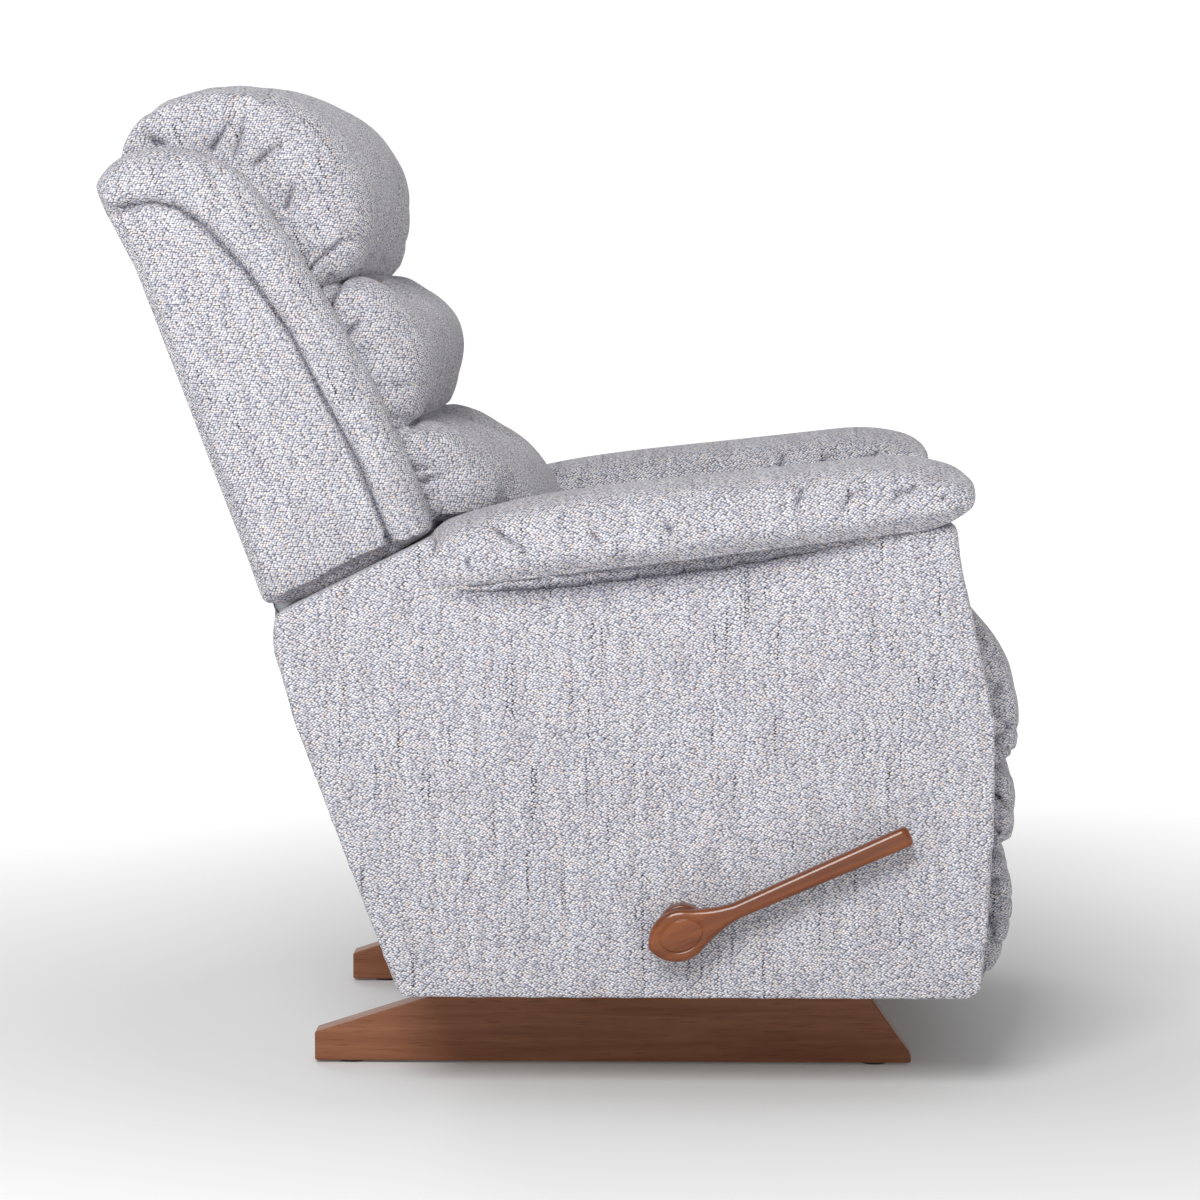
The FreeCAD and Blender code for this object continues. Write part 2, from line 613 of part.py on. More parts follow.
# Plywood side boards inside the covers
side_board = prism(BOARD_INNER, BOARD_OUTER, *arm_outline(EDGE_WALL))
side_board = holes_through(side_board, BOARD_INNER, BOARD_OUTER, side_holes, [rod_hole])
save_pair("side_board", side_board)


# Arm pads: soft bolsters that hang over the arm boxes on both sides
def pad_floor(x):
    """Height of the arm box's top at x, with the seam's gap."""
    share = (x - ARM_REAR) / (ARM_FRONT - ARM_REAR)
    return ARM_REAR_Z + share * (ARM_FRONT_Z - ARM_REAR_Z) + SEAM


def pad_section(x, floor, top, inset, tuck_in):
    """Cross section of an arm pad: flat below, bulging sides, crowned top; the outer side can tuck in."""
    inner, outer = PAD_INNER + inset, PAD_OUTER - inset - tuck_in
    middle = (inner + outer) / 2
    rise = top - floor
    tuck = min(14.0, rise * 0.3)
    shoulder = floor + rise * 0.72
    return ring_x(x, (inner + tuck, floor), (outer - tuck, floor),
                  ((outer, floor + rise * 0.4), (outer - tuck, shoulder)),
                  ((middle, top), (inner + tuck, shoulder)),
                  ((inner, floor + rise * 0.4), (inner + tuck, floor)))


# Share of the length, top, lift of the underside, inset of both sides, tuck of the outer side
PAD_SECTIONS = ((0.0, 599.0, 0.0, 5.0, 31.0), (0.14, 617.0, 0.0, 0.0, 20.0), (0.46, 640.0, 0.0, 0.0, 0.0),
                (0.78, 662.0, 0.0, 0.0, 0.0), (0.91, 667.0, 0.0, 0.0, 0.0), (0.975, 658.0, 6.0, 8.0, 0.0),
                (1.0, 647.0, 18.0, 30.0, 0.0))
pad_rings = []
for share, top, lift, inset, tuck_in in PAD_SECTIONS:
    x = ARM_REAR + SEAM + share * (PAD_NOSE - ARM_REAR - SEAM)
    pad_rings.append(pad_section(x, pad_floor(x) + lift, top, inset, tuck_in))
box_below = prism(PAD_INNER - PAD_SWELL, PAD_OUTER + PAD_SWELL, *arm_outline(0))
box_below.translate(V(0, 0, SEAM))
save_pair("arm_pad", loft(pad_rings).cut(box_below))

# Rear cover between the arm boxes
rear_low = (SIDE_REAR_BOTTOM + 3, SIDE_BOTTOM + 4)
rear_high = (TOP_REAR[0] + 12, TOP_REAR[1] - 8)
rear_cover = prism(-ARM_INNER, ARM_INNER, rear_low, (rear_low[0] + REAR_COVER_THICK, rear_low[1]),
                   (rear_high[0] + REAR_COVER_THICK, rear_high[1]), rear_high)
save("rear_cover", rear_cover)

# Back hinge: pins fixed in the body's plates turn in straps on the stiles
STRAP_OUTER = BOARD_OUTER - STRAP_PLAY
STILE_OUTER = STRAP_OUTER - STRAP_THICK
STILE_INNER = STILE_OUTER - STILE_WIDTH
PIN_END = BOARD_OUTER + HINGE_PLATE
pin = rod(HINGE, HINGE_PIN, STILE_OUTER, PIN_END)
pin = pin.fuse(rod(HINGE, HINGE_PIN + HEAD_EXTRA, PIN_END, PIN_END + HEAD_RISE))
save("back_hinge_pins", *pair(pin.removeSplitter()))
strap = prism(STILE_OUTER, STRAP_OUTER, (HINGE_N - HINGE_EYE, HINGE_S),
              ((HINGE_N, HINGE_S - HINGE_EYE), (HINGE_N + HINGE_EYE, HINGE_S)),
              (FRAME_N + STRAP_WIDTH, HINGE_S + 2 * HINGE_EYE),
              (FRAME_N + STRAP_WIDTH, HINGE_S + STRAP_LENGTH),
              (FRAME_N, HINGE_S + STRAP_LENGTH), (FRAME_N, HINGE_S + 2 * HINGE_EYE))
strap = strap.cut(rod((HINGE_N, HINGE_S), HINGE_PIN + RUNNING, STILE_OUTER - 1, STRAP_OUTER + 1))
save("back_hinge_straps", *pair(to_back(strap)))

# Seat pivot bolts through the arm boxes into the seat rails
SEAT_RAIL_OUTER = SEAT_HALF - SEAT_RAIL_INSET
SEAT_RAIL_INNER = SEAT_RAIL_OUTER - SEAT_RAIL_THICK
seat_bolt = rod(SEAT_PIVOT_AT, SEAT_PIVOT, SEAT_RAIL_INNER, BOARD_OUTER)
bolt_end = BOARD_OUTER + BOLT_HEAD_RISE
seat_bolt = seat_bolt.fuse(rod(SEAT_PIVOT_AT, SEAT_PIVOT + HEAD_EXTRA, BOARD_OUTER, bolt_end))
save("seat_pivot_bolts", *pair(seat_bolt.removeSplitter()))


# Sinuous springs
def sinuous(length):
    """Flat zigzag spring along X from 0 to length, of straight runs and round bends."""
    runs = int(length / (2 * SINUOUS_BEND)) - 1
    start = (length - runs * 2 * SINUOUS_BEND) / 2
    edges = []
    x, way = start, 1
    edges.append(Part.LineSegment(V(0, 0, 0), V(x - SINUOUS_BEND, 0, 0)).toShape())
    along, aside = SINUOUS_BEND * math.sin(math.pi / 4), SINUOUS_BEND * (1 - math.cos(math.pi / 4))
    first = x - SINUOUS_BEND
    edges.append(Part.Arc(V(first, 0, 0), V(first + along, aside, 0), V(x, SINUOUS_BEND, 0)).toShape())
    low = SINUOUS_BEND
    for _ in range(runs):
        high = way * SINUOUS_HALF
        edges.append(Part.LineSegment(V(x, low, 0), V(x, high, 0)).toShape())
        edges.append(Part.Arc(V(x, high, 0), V(x + SINUOUS_BEND, high + way * SINUOUS_BEND, 0),
                              V(x + 2 * SINUOUS_BEND, high, 0)).toShape())
        x += 2 * SINUOUS_BEND
        low = high
        way = -way
    edges.append(Part.LineSegment(V(x, low, 0), V(x, -way * SINUOUS_BEND, 0)).toShape())
    edges.append(Part.Arc(V(x, -way * SINUOUS_BEND, 0),
                          V(x + SINUOUS_BEND * (1 - math.cos(math.pi / 4)),
                            -way * SINUOUS_BEND * (1 - math.sin(math.pi / 4)), 0),
                          V(x + SINUOUS_BEND, 0, 0)).toShape())
    edges.append(Part.LineSegment(V(x + SINUOUS_BEND, 0, 0), V(length, 0, 0)).toShape())
    section = Part.Wire(Part.makeCircle(SINUOUS_WIRE, V(0, 0, 0), V(1, 0, 0)))
    return Part.Wire(edges).makePipeShell([section], True, False)


def spread(count, half):
    """Evenly spaced places across Y."""
    step = 2 * half / count
    return [-half + step * (i + 0.5) for i in range(count)]


# Seat: wooden frame, springs across it and a crowned cushion
rail_left = block(SEAT_REAR, SEAT_FRONT, SEAT_RAIL_INNER, SEAT_RAIL_OUTER, SEAT_RAIL_LOW, SEAT_RAIL_HIGH)
rail_left = rail_left.cut(rod(SEAT_PIVOT_AT, SEAT_PIVOT + RUNNING, SEAT_RAIL_INNER - 1, SEAT_HALF))
save("seat_side_rails", *pair(rail_left))
seat_cross = [block(x, x + SEAT_RAIL_THICK, -SEAT_RAIL_INNER, SEAT_RAIL_INNER, SEAT_RAIL_LOW, SEAT_RAIL_HIGH)
              for x in (SEAT_REAR, SEAT_FRONT - SEAT_RAIL_THICK)]
save("seat_cross_rails", *seat_cross)
seat_springs = []
for y in spread(SEAT_SPRINGS, SEAT_RAIL_INNER - 6):
    spring = sinuous(SEAT_FRONT - SEAT_REAR)
    spring.translate(V(SEAT_REAR, y, SEAT_RAIL_HIGH + SINUOUS_WIRE))
    seat_springs.append(spring)
save("seat_springs", *seat_springs)

CUSHION_FLOOR = SEAT_RAIL_HIGH + 2 * SINUOUS_WIRE + SEAM


def seat_section(x, floor, top, inset):
    """Cross section of the seat cushion: flat below, drawn-in sides, crowned top."""
    half = SEAT_HALF - inset
    rise = top - floor
    return ring_x(x, (-half + 8, floor), (half - 8, floor),
                  ((half, floor + rise * 0.45), (half - 14, top - rise * 0.12)),
                  ((0, top + SEAT_CROWN), (-half + 14, top - rise * 0.12)),
                  ((-half, floor + rise * 0.45), (-half + 8, floor)))


CUSHION_SPAN = SEAT_CUSHION_FRONT - SEAT_REAR
CUSHION = ((0.0, 0.0, -34.0, 8.0), (0.08, 0.0, -12.0, 2.0), (0.35, 0.0, -2.0, 0.0), (0.7, 0.0, 0.0, 0.0),
           (0.9, 0.0, -3.0, 0.0), (0.97, 3.0, -14.0, 3.0), (1.0, 12.0, -30.0, 12.0))
cushion = loft([seat_section(SEAT_REAR + share * CUSHION_SPAN, CUSHION_FLOOR + lift, SEAT_TOP + drop, inset)
                for share, lift, drop, inset in CUSHION])
wide = SEAT_HALF + 1
under = block(SEAT_REAR - 1, SEAT_CUSHION_FRONT + 1, -wide, wide, SEAT_RAIL_LOW, CUSHION_FLOOR)
save("seat_cushion", cushion.cut(under))

# Back frame
FRAME_FRONT_N = FRAME_N + FRAME_DEPTH
stile = block(FRAME_N, FRAME_FRONT_N, STILE_INNER, STILE_OUTER, FRAME_FOOT_S, FRAME_TOP_S)
save("back_stiles", *pair(to_back(stile)))
rails_s = (FRAME_FOOT_S, BACK_RAIL_MIDDLE_S, FRAME_TOP_S - BACK_RAIL)
save("back_cross_rails", *[to_back(block(FRAME_N, FRAME_FRONT_N, -STILE_INNER, STILE_INNER, s, s + BACK_RAIL))
                           for s in rails_s])
back_springs = []
for y in spread(BACK_SPRINGS, STILE_INNER - 10):
    spring = sinuous(FRAME_TOP_S - FRAME_FOOT_S)
    spring.rotate(V(0, 0, 0), V(0, 1, 0), -90)
    spring.translate(V(FRAME_FRONT_N + SINUOUS_WIRE, y, FRAME_FOOT_S))
    back_springs.append(to_back(spring))
save("back_springs", *back_springs)
panel = block(0, REAR_PANEL, -STILE_OUTER, STILE_OUTER, HINGE_S, FRAME_TOP_S)
save("back_rear_cover", to_back(panel))


# Pillows: each one a loft of its side outline, drawn in towards both ends
PILLOW_N = FRAME_FRONT_N + 2 * SINUOUS_WIRE + SEAM
PILLOW_HALF = WING_INNER - SEAM
LOWER_HALF = PAD_INNER - PAD_SWELL - SEAM
PILLOW_ENDS = ((1.0, 0.74), (0.93, 0.88), (0.76, 0.965), (0.5, 0.995))


def both_ends(ends):
    """Sections from one end over the full middle to the other end, as (share of half width, fullness)."""
    return [(-share, full) for share, full in ends] + [(0.0, 1.0)] + list(reversed(ends))


def pillow(outline_at, half):
    return to_back(loft([ring_y(half * share, *outline_at(full)) for share, full in both_ends(PILLOW_ENDS)]))


def lean(n, full):
    """Forward place of an outline point when the pillow is only so full."""
    return PILLOW_N + (n - PILLOW_N) * full


def head_outline(full):
    low = HEAD_SPLIT_S + SEAM
    drop = (1 - full) * 60
    top = FRAME_TOP_S + 4
    return ((PILLOW_N, low), (PILLOW_N, top), (6, top + 4),
            ((24, 510 - drop / 2), (102, 534 - drop)),
            ((lean(200, full), 501 - drop), (lean(252, full), 406 - drop / 2)),
            ((lean(255, full), 342), (lean(226, full), low + 2)),
            (PILLOW_N, low))


def middle_outline(full):
    low, high = LOWER_SPLIT_S + SEAM, HEAD_SPLIT_S - SEAM
    return ((PILLOW_N, low), (PILLOW_N, high), (lean(228, full), high),
            ((lean(256, full), (low + high) / 2 + 4), (lean(216, full), low)),
            (PILLOW_N, low))


def rest_s(n):
    """S of the level line on which the lower pillow sits, at forward place n."""
    tilt = math.radians(BACK_TILT)
    return (LOWER_REST_Z - BACK_FOOT_Z - n * math.sin(tilt)) / math.cos(tilt)


def lower_outline(full):
    high = LOWER_SPLIT_S - SEAM
    belly = lean(285, full)
    toe = lean(270, full)
    return ((PILLOW_N, rest_s(PILLOW_N)), (PILLOW_N, high), (lean(222, full), high),
            ((lean(262, full), high - 38), (belly, -16)),
            ((lean(287, full), -80), (toe, rest_s(toe))),
            (PILLOW_N, rest_s(PILLOW_N)))


save("head_pillow", pillow(head_outline, PILLOW_HALF))
save("middle_pillow", pillow(middle_outline, PILLOW_HALF))
# The lower pillow is as wide as the others above the arms, and tucks in between them below
room_rear, room_front = ARM_REAR - ARM_ROOM, ARM_FRONT / 3
arm_room = prism(LOWER_HALF, PILLOW_HALF + 1,
                 (TOP_REAR[0], SIDE_BOTTOM), (TOP_REAR[0], TOP_REAR[1] + ARM_ROOM),
                 (room_rear, TOP_FRONT[1] + ARM_ROOM), (room_rear, PAD_SECTIONS[0][1] + 2 * ARM_ROOM),
                 (room_front, PAD_SECTIONS[2][1] + 2 * ARM_ROOM), (room_front, SIDE_BOTTOM))
save("lower_pillow", pillow(lower_outline, PILLOW_HALF).cut(arm_room).cut(mirrored(arm_room)))


# Wings: flat side panels with a round bolster along their front and top
def wing_outline(full):
    """Side outline between the seam of the side panel, at 0, and the front of the bolster, at 1."""
    def mix(a, b):
        return (a[0] + (b[0] - a[0]) * full, a[1] + (b[1] - a[1]) * full)
    foot = mix((142, edge_s(142)), (WING_DEPTH, WING_LOWER_FRONT_S))
    return ((0, edge_s(0) + HINGE_EYE),
            ((4, edge_s(4) + 4), (HINGE_EYE, edge_s(HINGE_EYE))), foot,
            (mix((135, 165), (177, 220)), mix((107, 324), (150, 368))),
            (mix((76, 402), (116, 448)), mix((30, 430), (62, 481))),
            (mix((16, 431), (22, 480)), mix((2, 427), (-6, 459))),
            (0, edge_s(0) + HINGE_EYE))


WING_FULLNESS = ((0.0, 0.86), (0.25, 1.0), (0.6, 0.96), (0.88, 0.62), (1.0, 0.0))
wing = to_back(loft([ring_y(WING_INNER + share * (WING_OUTER - WING_INNER), *wing_outline(full))
                     for share, full in WING_FULLNESS]))
save_pair("back_wing", wing)

# Footrest: board, brackets and a pad of three channels
board = block(BOARD_BACK, BOARD_BACK + BOARD_THICK, -BOARD_HALF, BOARD_HALF, BOARD_LOW, BOARD_HIGH)
save("footrest_board", board)
bracket_low = BRACKET_PIVOT[1] - BRACKET_LEG
bracket_high = BRACKET_PIVOT[1] + RIVET * 2.6
bracket = prism(*REAR_LAYER, (BOARD_BACK, bracket_low), (BOARD_BACK, bracket_high),
                (BRACKET_PIVOT[0], bracket_high), ((BRACKET_PIVOT[0] - RIVET * 2.6, BRACKET_PIVOT[1]),
                                                   (BRACKET_PIVOT[0] - 4, BRACKET_PIVOT[1] - RIVET * 2.6)),
                (BRACKET_JOINT[0] - 2, BRACKET_JOINT[1] - RIVET * 2.6))
foot = block(BOARD_BACK - BAR_THICK, BOARD_BACK, REAR_LAYER[0] - BRACKET_FLANGE, REAR_LAYER[1],
             bracket_low - 20, bracket_high)
bracket = bracket.cut(rod(BRACKET_PIVOT, TURNS, REAR_LAYER[0] - 1, REAR_LAYER[1] + 1))
bracket = bracket.fuse(foot).removeSplitter()
peg = rod(BRACKET_JOINT, RIVET, REAR_LAYER[1], DRIVE_LAYER[1])
peg = peg.fuse(rod(BRACKET_JOINT, OPEN + 2, DRIVE_LAYER[1] + SEAM, DRIVE_LAYER[1] + HEAD_RISE))
peg = peg.fuse(rod(BRACKET_JOINT, RIVET, DRIVE_LAYER[1], DRIVE_LAYER[1] + HEAD_RISE))
save("footrest_brackets", *pair(bracket.fuse(peg).removeSplitter()))

PAD_BACK = BOARD_BACK + BOARD_THICK


def foot_outline(full):
    """Side outline of the footrest pad: three bulging channels, flat behind."""
    def out(x):
        return PAD_BACK + (x - PAD_BACK) * full
    low, high = FOOT_PAD_LOW, FOOT_PAD_HIGH
    return ((PAD_BACK, low), (PAD_BACK, high),
            ((out(FOOT_PAD_FRONT - 15), high - 53), (out(FOOT_PAD_FRONT), FOOT_CREASE_HIGH + 16)),
            (out(FOOT_PAD_FRONT - 9), FOOT_CREASE_HIGH),
            ((out(FOOT_PAD_FRONT - 1), (FOOT_CREASE_HIGH + FOOT_CREASE_LOW) / 2),
             (out(FOOT_PAD_FRONT - 11), FOOT_CREASE_LOW)),
            ((out(FOOT_PAD_FRONT - 4), FOOT_CREASE_LOW - 40), (out(FOOT_PAD_FRONT - 18), low + 42)),
            ((out(FOOT_PAD_FRONT - 31), low + 18), (PAD_BACK, low)))


FOOT_PAD_ENDS = ((1.0, 0.66), (0.94, 0.88), (0.8, 0.97), (0.5, 0.995))
save("footrest_pad", loft([ring_y(FOOT_PAD_HALF * share, *foot_outline(full))
                           for share, full in both_ends(FOOT_PAD_ENDS)]))

# Lever with hub and bare oval plate on the right side
HUB_OUTER = ARM_OUTER + LEVER_STANDOFF
hub = rod(DRIVE, HUB_RADIUS, -HUB_OUTER, -ARM_OUTER - HUB_GAP)
save("handle_hub", hub)


def along_lever(shape):
    moved = shape.copy()
    moved.rotate(V(0, 0, 0), V(0, 1, 0), -LEVER_ANGLE)
    moved.translate(V(DRIVE[0], 0, DRIVE[1]))
    return moved


def lever_ring(y, inset):
    """Outline of the lever at y, drawn in by inset: round end, slim grip, neck and oval head."""
    neck, end = LEVER_NECK_HALF - inset, LEVER_END_HALF - inset
    wide, long = LEVER_HEAD_WIDE - inset, LEVER_HEAD_LONG - inset
    end_x = LEVER_REACH - LEVER_END_HALF
    flare = (LEVER_NECK_AT * 0.62, neck + (wide - neck) * 0.3)
    brow = (LEVER_HEAD_LONG * 0.3, wide)
    cheek = (-long * 0.72, wide * 0.72)
    return ring_y(y, (LEVER_NECK_AT, neck), (end_x, end), ((end_x + end, 0), (end_x, -end)),
                  (LEVER_NECK_AT, -neck), ((flare[0], -flare[1]), (brow[0], -brow[1])),
                  ((cheek[0], -cheek[1]), (-long, 0)), (cheek, brow), (flare, (LEVER_NECK_AT, neck)))


LEVER_FACE = -HUB_OUTER - LEVER_THICK
lever_rings = [(-HUB_OUTER, LEVER_ROUND / 4), (-HUB_OUTER - LEVER_ROUND / 2, 0.0),
               (LEVER_FACE + LEVER_ROUND, 0.0), (LEVER_FACE + LEVER_ROUND / 3, LEVER_ROUND / 3),
               (LEVER_FACE, LEVER_ROUND)]
lever = along_lever(Part.makeLoft([lever_ring(y, inset) for y, inset in lever_rings], True, True))
save("handle", lever)
badge = Part.Face(Part.Wire(Part.Ellipse(V(0, 0, 0), BADGE_LONG, BADGE_WIDE).toShape()))
badge.rotate(V(0, 0, 0), V(1, 0, 0), 90)
badge.translate(V(0, -HUB_OUTER - LEVER_THICK, 0))
save("handle_badge", along_lever(badge.extrude(V(0, -BADGE_RISE, 0))))

everything = Part.makeCompound(list(PIECES.values()))
box = everything.BoundBox
print("size", [round(v, 1) for v in (box.XLength, box.YLength, box.ZLength)],
      "from", [round(v, 1) for v in (box.XMin, box.YMin, box.ZMin)],
      "to", [round(v, 1) for v in (box.XMax, box.YMax, box.ZMax)])
print(len(PIECES), "pieces;", "not valid:", [n for n, s in PIECES.items() if not s.isValid()])
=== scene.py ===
import math

import bmesh
import bpy
import numpy as np
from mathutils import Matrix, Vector


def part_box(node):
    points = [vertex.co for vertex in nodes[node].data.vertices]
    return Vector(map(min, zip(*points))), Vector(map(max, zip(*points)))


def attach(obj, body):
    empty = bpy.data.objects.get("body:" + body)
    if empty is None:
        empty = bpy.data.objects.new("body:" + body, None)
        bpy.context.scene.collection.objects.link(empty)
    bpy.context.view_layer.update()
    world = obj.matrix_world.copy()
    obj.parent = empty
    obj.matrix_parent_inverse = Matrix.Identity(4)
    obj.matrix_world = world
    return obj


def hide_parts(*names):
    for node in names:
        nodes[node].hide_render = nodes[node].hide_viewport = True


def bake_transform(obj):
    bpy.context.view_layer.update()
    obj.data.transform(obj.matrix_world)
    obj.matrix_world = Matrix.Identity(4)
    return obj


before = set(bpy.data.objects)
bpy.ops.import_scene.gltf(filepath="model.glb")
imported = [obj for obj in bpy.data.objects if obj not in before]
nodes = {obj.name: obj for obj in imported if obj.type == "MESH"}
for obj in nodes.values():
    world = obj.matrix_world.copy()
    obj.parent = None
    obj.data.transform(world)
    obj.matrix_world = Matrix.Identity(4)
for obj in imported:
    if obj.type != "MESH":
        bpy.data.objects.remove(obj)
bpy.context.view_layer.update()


# Base rails: two long rails of beech, sawn to a bevel at each end and joined by two cross rails.
# They are stained dark walnut and finished with a matt varnish, and their edges are eased by hand.
RAIL_EASE = 0.0022
RING_LENGTH, RING_WIDTH, RING_HEIGHT = 0.22, 0.016, 0.011       # one streak of the growth rings
PORE_LENGTH, PORE_WIDTH = 0.03, 0.0016      # drawn coarser than real pores, so that they show
WALNUT = ("#55301c", "#7a4a31", "#86563c", "#926247")


def linear(code):
    """Linear colour of an sRGB hex value."""
    parts = [int(code[i:i + 2], 16) / 255 for i in (1, 3, 5)]
    return [c / 12.92 if c <= 0.04045 else ((c + 0.055) / 1.055) ** 2.4 for c in parts] + [1.0]


def add(tree, kind, inputs={}, stops=(), **settings):
    """A node with its settings, its inputs set or linked, and the stops of its ramp."""
    node = tree.nodes.new(kind)
    for name, value in settings.items():
        setattr(node, name, value)
    for name, value in inputs.items():
        if isinstance(value, bpy.types.NodeSocket):
            tree.links.new(value, node.inputs[name])
        else:
            node.inputs[name].default_value = value
    for i, (place, code) in enumerate(stops):
        ramp = node.color_ramp.elements
        stop = ramp[i] if i < 2 else ramp.new(place)
        stop.position = place
        stop.color = linear(code)
    return node


def finish_named(name, **values):
    """A new material, its tree, its shader and its Object coordinates."""
    material = bpy.data.materials.new(name)
    material.use_nodes = True
    shader = material.node_tree.nodes["Principled BSDF"]
    for socket, value in values.items():
        shader.inputs[socket.replace("_", " ")].default_value = value
    coords = add(material.node_tree, "ShaderNodeTexCoord").outputs["Object"]
    return material, material.node_tree, shader, coords


def stained_wood(name, colours, turn, roughness, varnish):
    """Stained wood: long streaks of growth rings, fine dark pores, and a varnish over both."""
    material, tree, shader, coords = finish_named(name, Roughness=roughness, Coat_Weight=varnish,
                                                  Coat_Roughness=0.12)
    shader.inputs["Specular IOR Level"].default_value = 0.2
    along = add(tree, "ShaderNodeMapping", {"Vector": coords, "Rotation": (0, turn, 0)}).outputs["Vector"]
    rings = add(tree, "ShaderNodeMapping", {"Vector": along, "Scale": (1 / RING_LENGTH, 1 / RING_WIDTH,
                                                                       1 / RING_HEIGHT)})
    ring = add(tree, "ShaderNodeTexNoise", {"Vector": rings.outputs["Vector"], "Scale": 1.0, "Detail": 5.0,
                                            "Distortion": 0.7})
    tone = add(tree, "ShaderNodeValToRGB", {"Fac": ring.outputs["Fac"]},
               stops=((0.28, colours[1]), (0.72, colours[3]), (0.5, colours[2])))
    pores = add(tree, "ShaderNodeMapping", {"Vector": along, "Scale": (1 / PORE_LENGTH, 1 / PORE_WIDTH,
                                                                       1 / PORE_WIDTH)})
    pore = add(tree, "ShaderNodeTexNoise", {"Vector": pores.outputs["Vector"], "Scale": 1.0, "Detail": 3.0})
    dark = add(tree, "ShaderNodeMapRange", {"Value": pore.outputs["Fac"], "From Min": 0.56, "From Max": 0.72,
                                            "To Max": 0.5})
    colour = add(tree, "ShaderNodeMix", {"Factor": dark.outputs["Result"], 6: tone.outputs["Color"],
                                         7: linear(colours[0])}, data_type="RGBA")
    bump = add(tree, "ShaderNodeBump", {"Height": pore.outputs["Fac"], "Strength": 0.25, "Distance": 0.0004})
    tree.links.new(colour.outputs[2], shader.inputs["Base Color"])
    tree.links.new(bump.outputs["Normal"], shader.inputs["Normal"])
    return material


def copy_of(name, *sources):
    """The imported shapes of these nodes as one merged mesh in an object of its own."""
    shape = bmesh.new()
    for source in sources:
        shape.from_mesh(nodes[source].data)
    bmesh.ops.remove_doubles(shape, verts=shape.verts, dist=1e-5)
    return piece_of(name, shape)


def piece_of(name, shape):
    """An object with this bmesh as its mesh."""
    mesh = bpy.data.meshes.new(name)
    shape.to_mesh(mesh)
    shape.free()
    piece = bpy.data.objects.new(name, mesh)
    bpy.context.collection.objects.link(piece)
    return piece


def eased(name, source, width, segments=3):
    """A copy of a hard node with its sharp edges rounded over."""
    piece = copy_of(name, source)
    shape = bmesh.new()
    shape.from_mesh(piece.data)
    bmesh.ops.dissolve_limit(shape, angle_limit=math.radians(2), verts=shape.verts, edges=shape.edges)
    sharp = [e for e in shape.edges if e.is_manifold and e.calc_face_angle() > math.radians(25)]
    bmesh.ops.bevel(shape, geom=sharp, offset=width, segments=segments, profile=0.5, affect="EDGES",
                    material=-1, clamp_overlap=True)
    shape.to_mesh(piece.data)
    shape.free()
    piece.data.shade_smooth()
    piece.data.set_sharp_from_angle(angle=math.radians(40))
    return piece


def dress(piece, body, material, slot, *replaced):
    """Puts the finish on a new piece, lets it ride on its body, if it has one, and stand for its nodes."""
    piece.data.materials.clear()
    piece.data.materials.append(material)
    if body:
        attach(piece, body)
    if replaced:
        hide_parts(*replaced)
    return piece


def coat(material, *names):
    """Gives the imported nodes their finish."""
    for name in names:
        for place in nodes[name].material_slots:
            place.material = material


# Walnut-stained beech, brushed with matt varnish: soft broken streaks, dark pores, hardly any shine.
walnut = stained_wood("walnut_stained_beech_matt", WALNUT, turn=0.0, roughness=0.52, varnish=0.08)
for side in ("left", "right"):
    rail = eased("walnut_rail_" + side, "base_rail_" + side, RAIL_EASE)
    dress(rail, "base", walnut, "stained_hardwood", "base_rail_" + side)
coat(walnut, "base_cross_rails")


# Floor glides: turned nylon buttons pressed into the rails.
# Black nylon, moulded: an even dark tone with a faint grain and a satin shine.
NYLON_GRAIN = 0.0012        # drawn coarser than real, so that it shows
nylon, tree, shader, coords = finish_named("black_nylon_moulded", Roughness=0.45)
grain = add(tree, "ShaderNodeTexNoise", {"Vector": coords, "Scale": 1 / NYLON_GRAIN, "Detail": 2.0})
tone = add(tree, "ShaderNodeValToRGB", {"Fac": grain.outputs["Fac"]},
           stops=((0.3, "#151516"), (0.7, "#222224")))
bump = add(tree, "ShaderNodeBump", {"Height": grain.outputs["Fac"], "Strength": 0.2, "Distance": 0.0002})
tree.links.new(tone.outputs["Color"], shader.inputs["Base Color"])
tree.links.new(bump.outputs["Normal"], shader.inputs["Normal"])
coat(nylon, "floor_glides", "rod_bushes")


# Rocker cams, inner rails and stiles: sawn frame timber, hidden under the covers.
# Beech, planed: pale, with fine long streaks and no varnish.
beech = stained_wood("beech_planed", ("#8f6a45", "#b58f63", "#c09b6d", "#cba97c"),
                     turn=0.0, roughness=0.62, varnish=0.0)
coat(beech, "rocker_cam_left", "rocker_cam_right", "front_cross_rail", "rear_cross_rail", "seat_side_rails",
     "seat_cross_rails", "back_stiles", "back_cross_rails")


# Side boards and footrest board: birch plywood cut to the outline of the part.
# Birch plywood, sanded: pale veneer on the faces, and thin light and dark plies on the edges.
PLY = 0.0018
VENEER_LENGTH, VENEER_WIDTH = 0.2, 0.012
plywood, tree, shader, coords = finish_named("birch_plywood_sanded", Roughness=0.6)
veneer_scale = add(tree, "ShaderNodeMapping", {"Vector": coords, "Scale": (1 / VENEER_LENGTH, 1 / PLY,
                                                                           1 / VENEER_WIDTH)})
veneer = add(tree, "ShaderNodeTexNoise", {"Vector": veneer_scale.outputs["Vector"], "Scale": 1.0,
                                          "Detail": 4.0})
tone = add(tree, "ShaderNodeValToRGB", {"Fac": veneer.outputs["Fac"]},
           stops=((0.3, "#a88358"), (0.7, "#d4b88c"), (0.5, "#c4a273")))
bump = add(tree, "ShaderNodeBump", {"Height": veneer.outputs["Fac"], "Strength": 0.15, "Distance": 0.0004})
tree.links.new(tone.outputs["Color"], shader.inputs["Base Color"])
tree.links.new(bump.outputs["Normal"], shader.inputs["Normal"])
coat(plywood, "side_board_left", "side_board_right", "footrest_board")


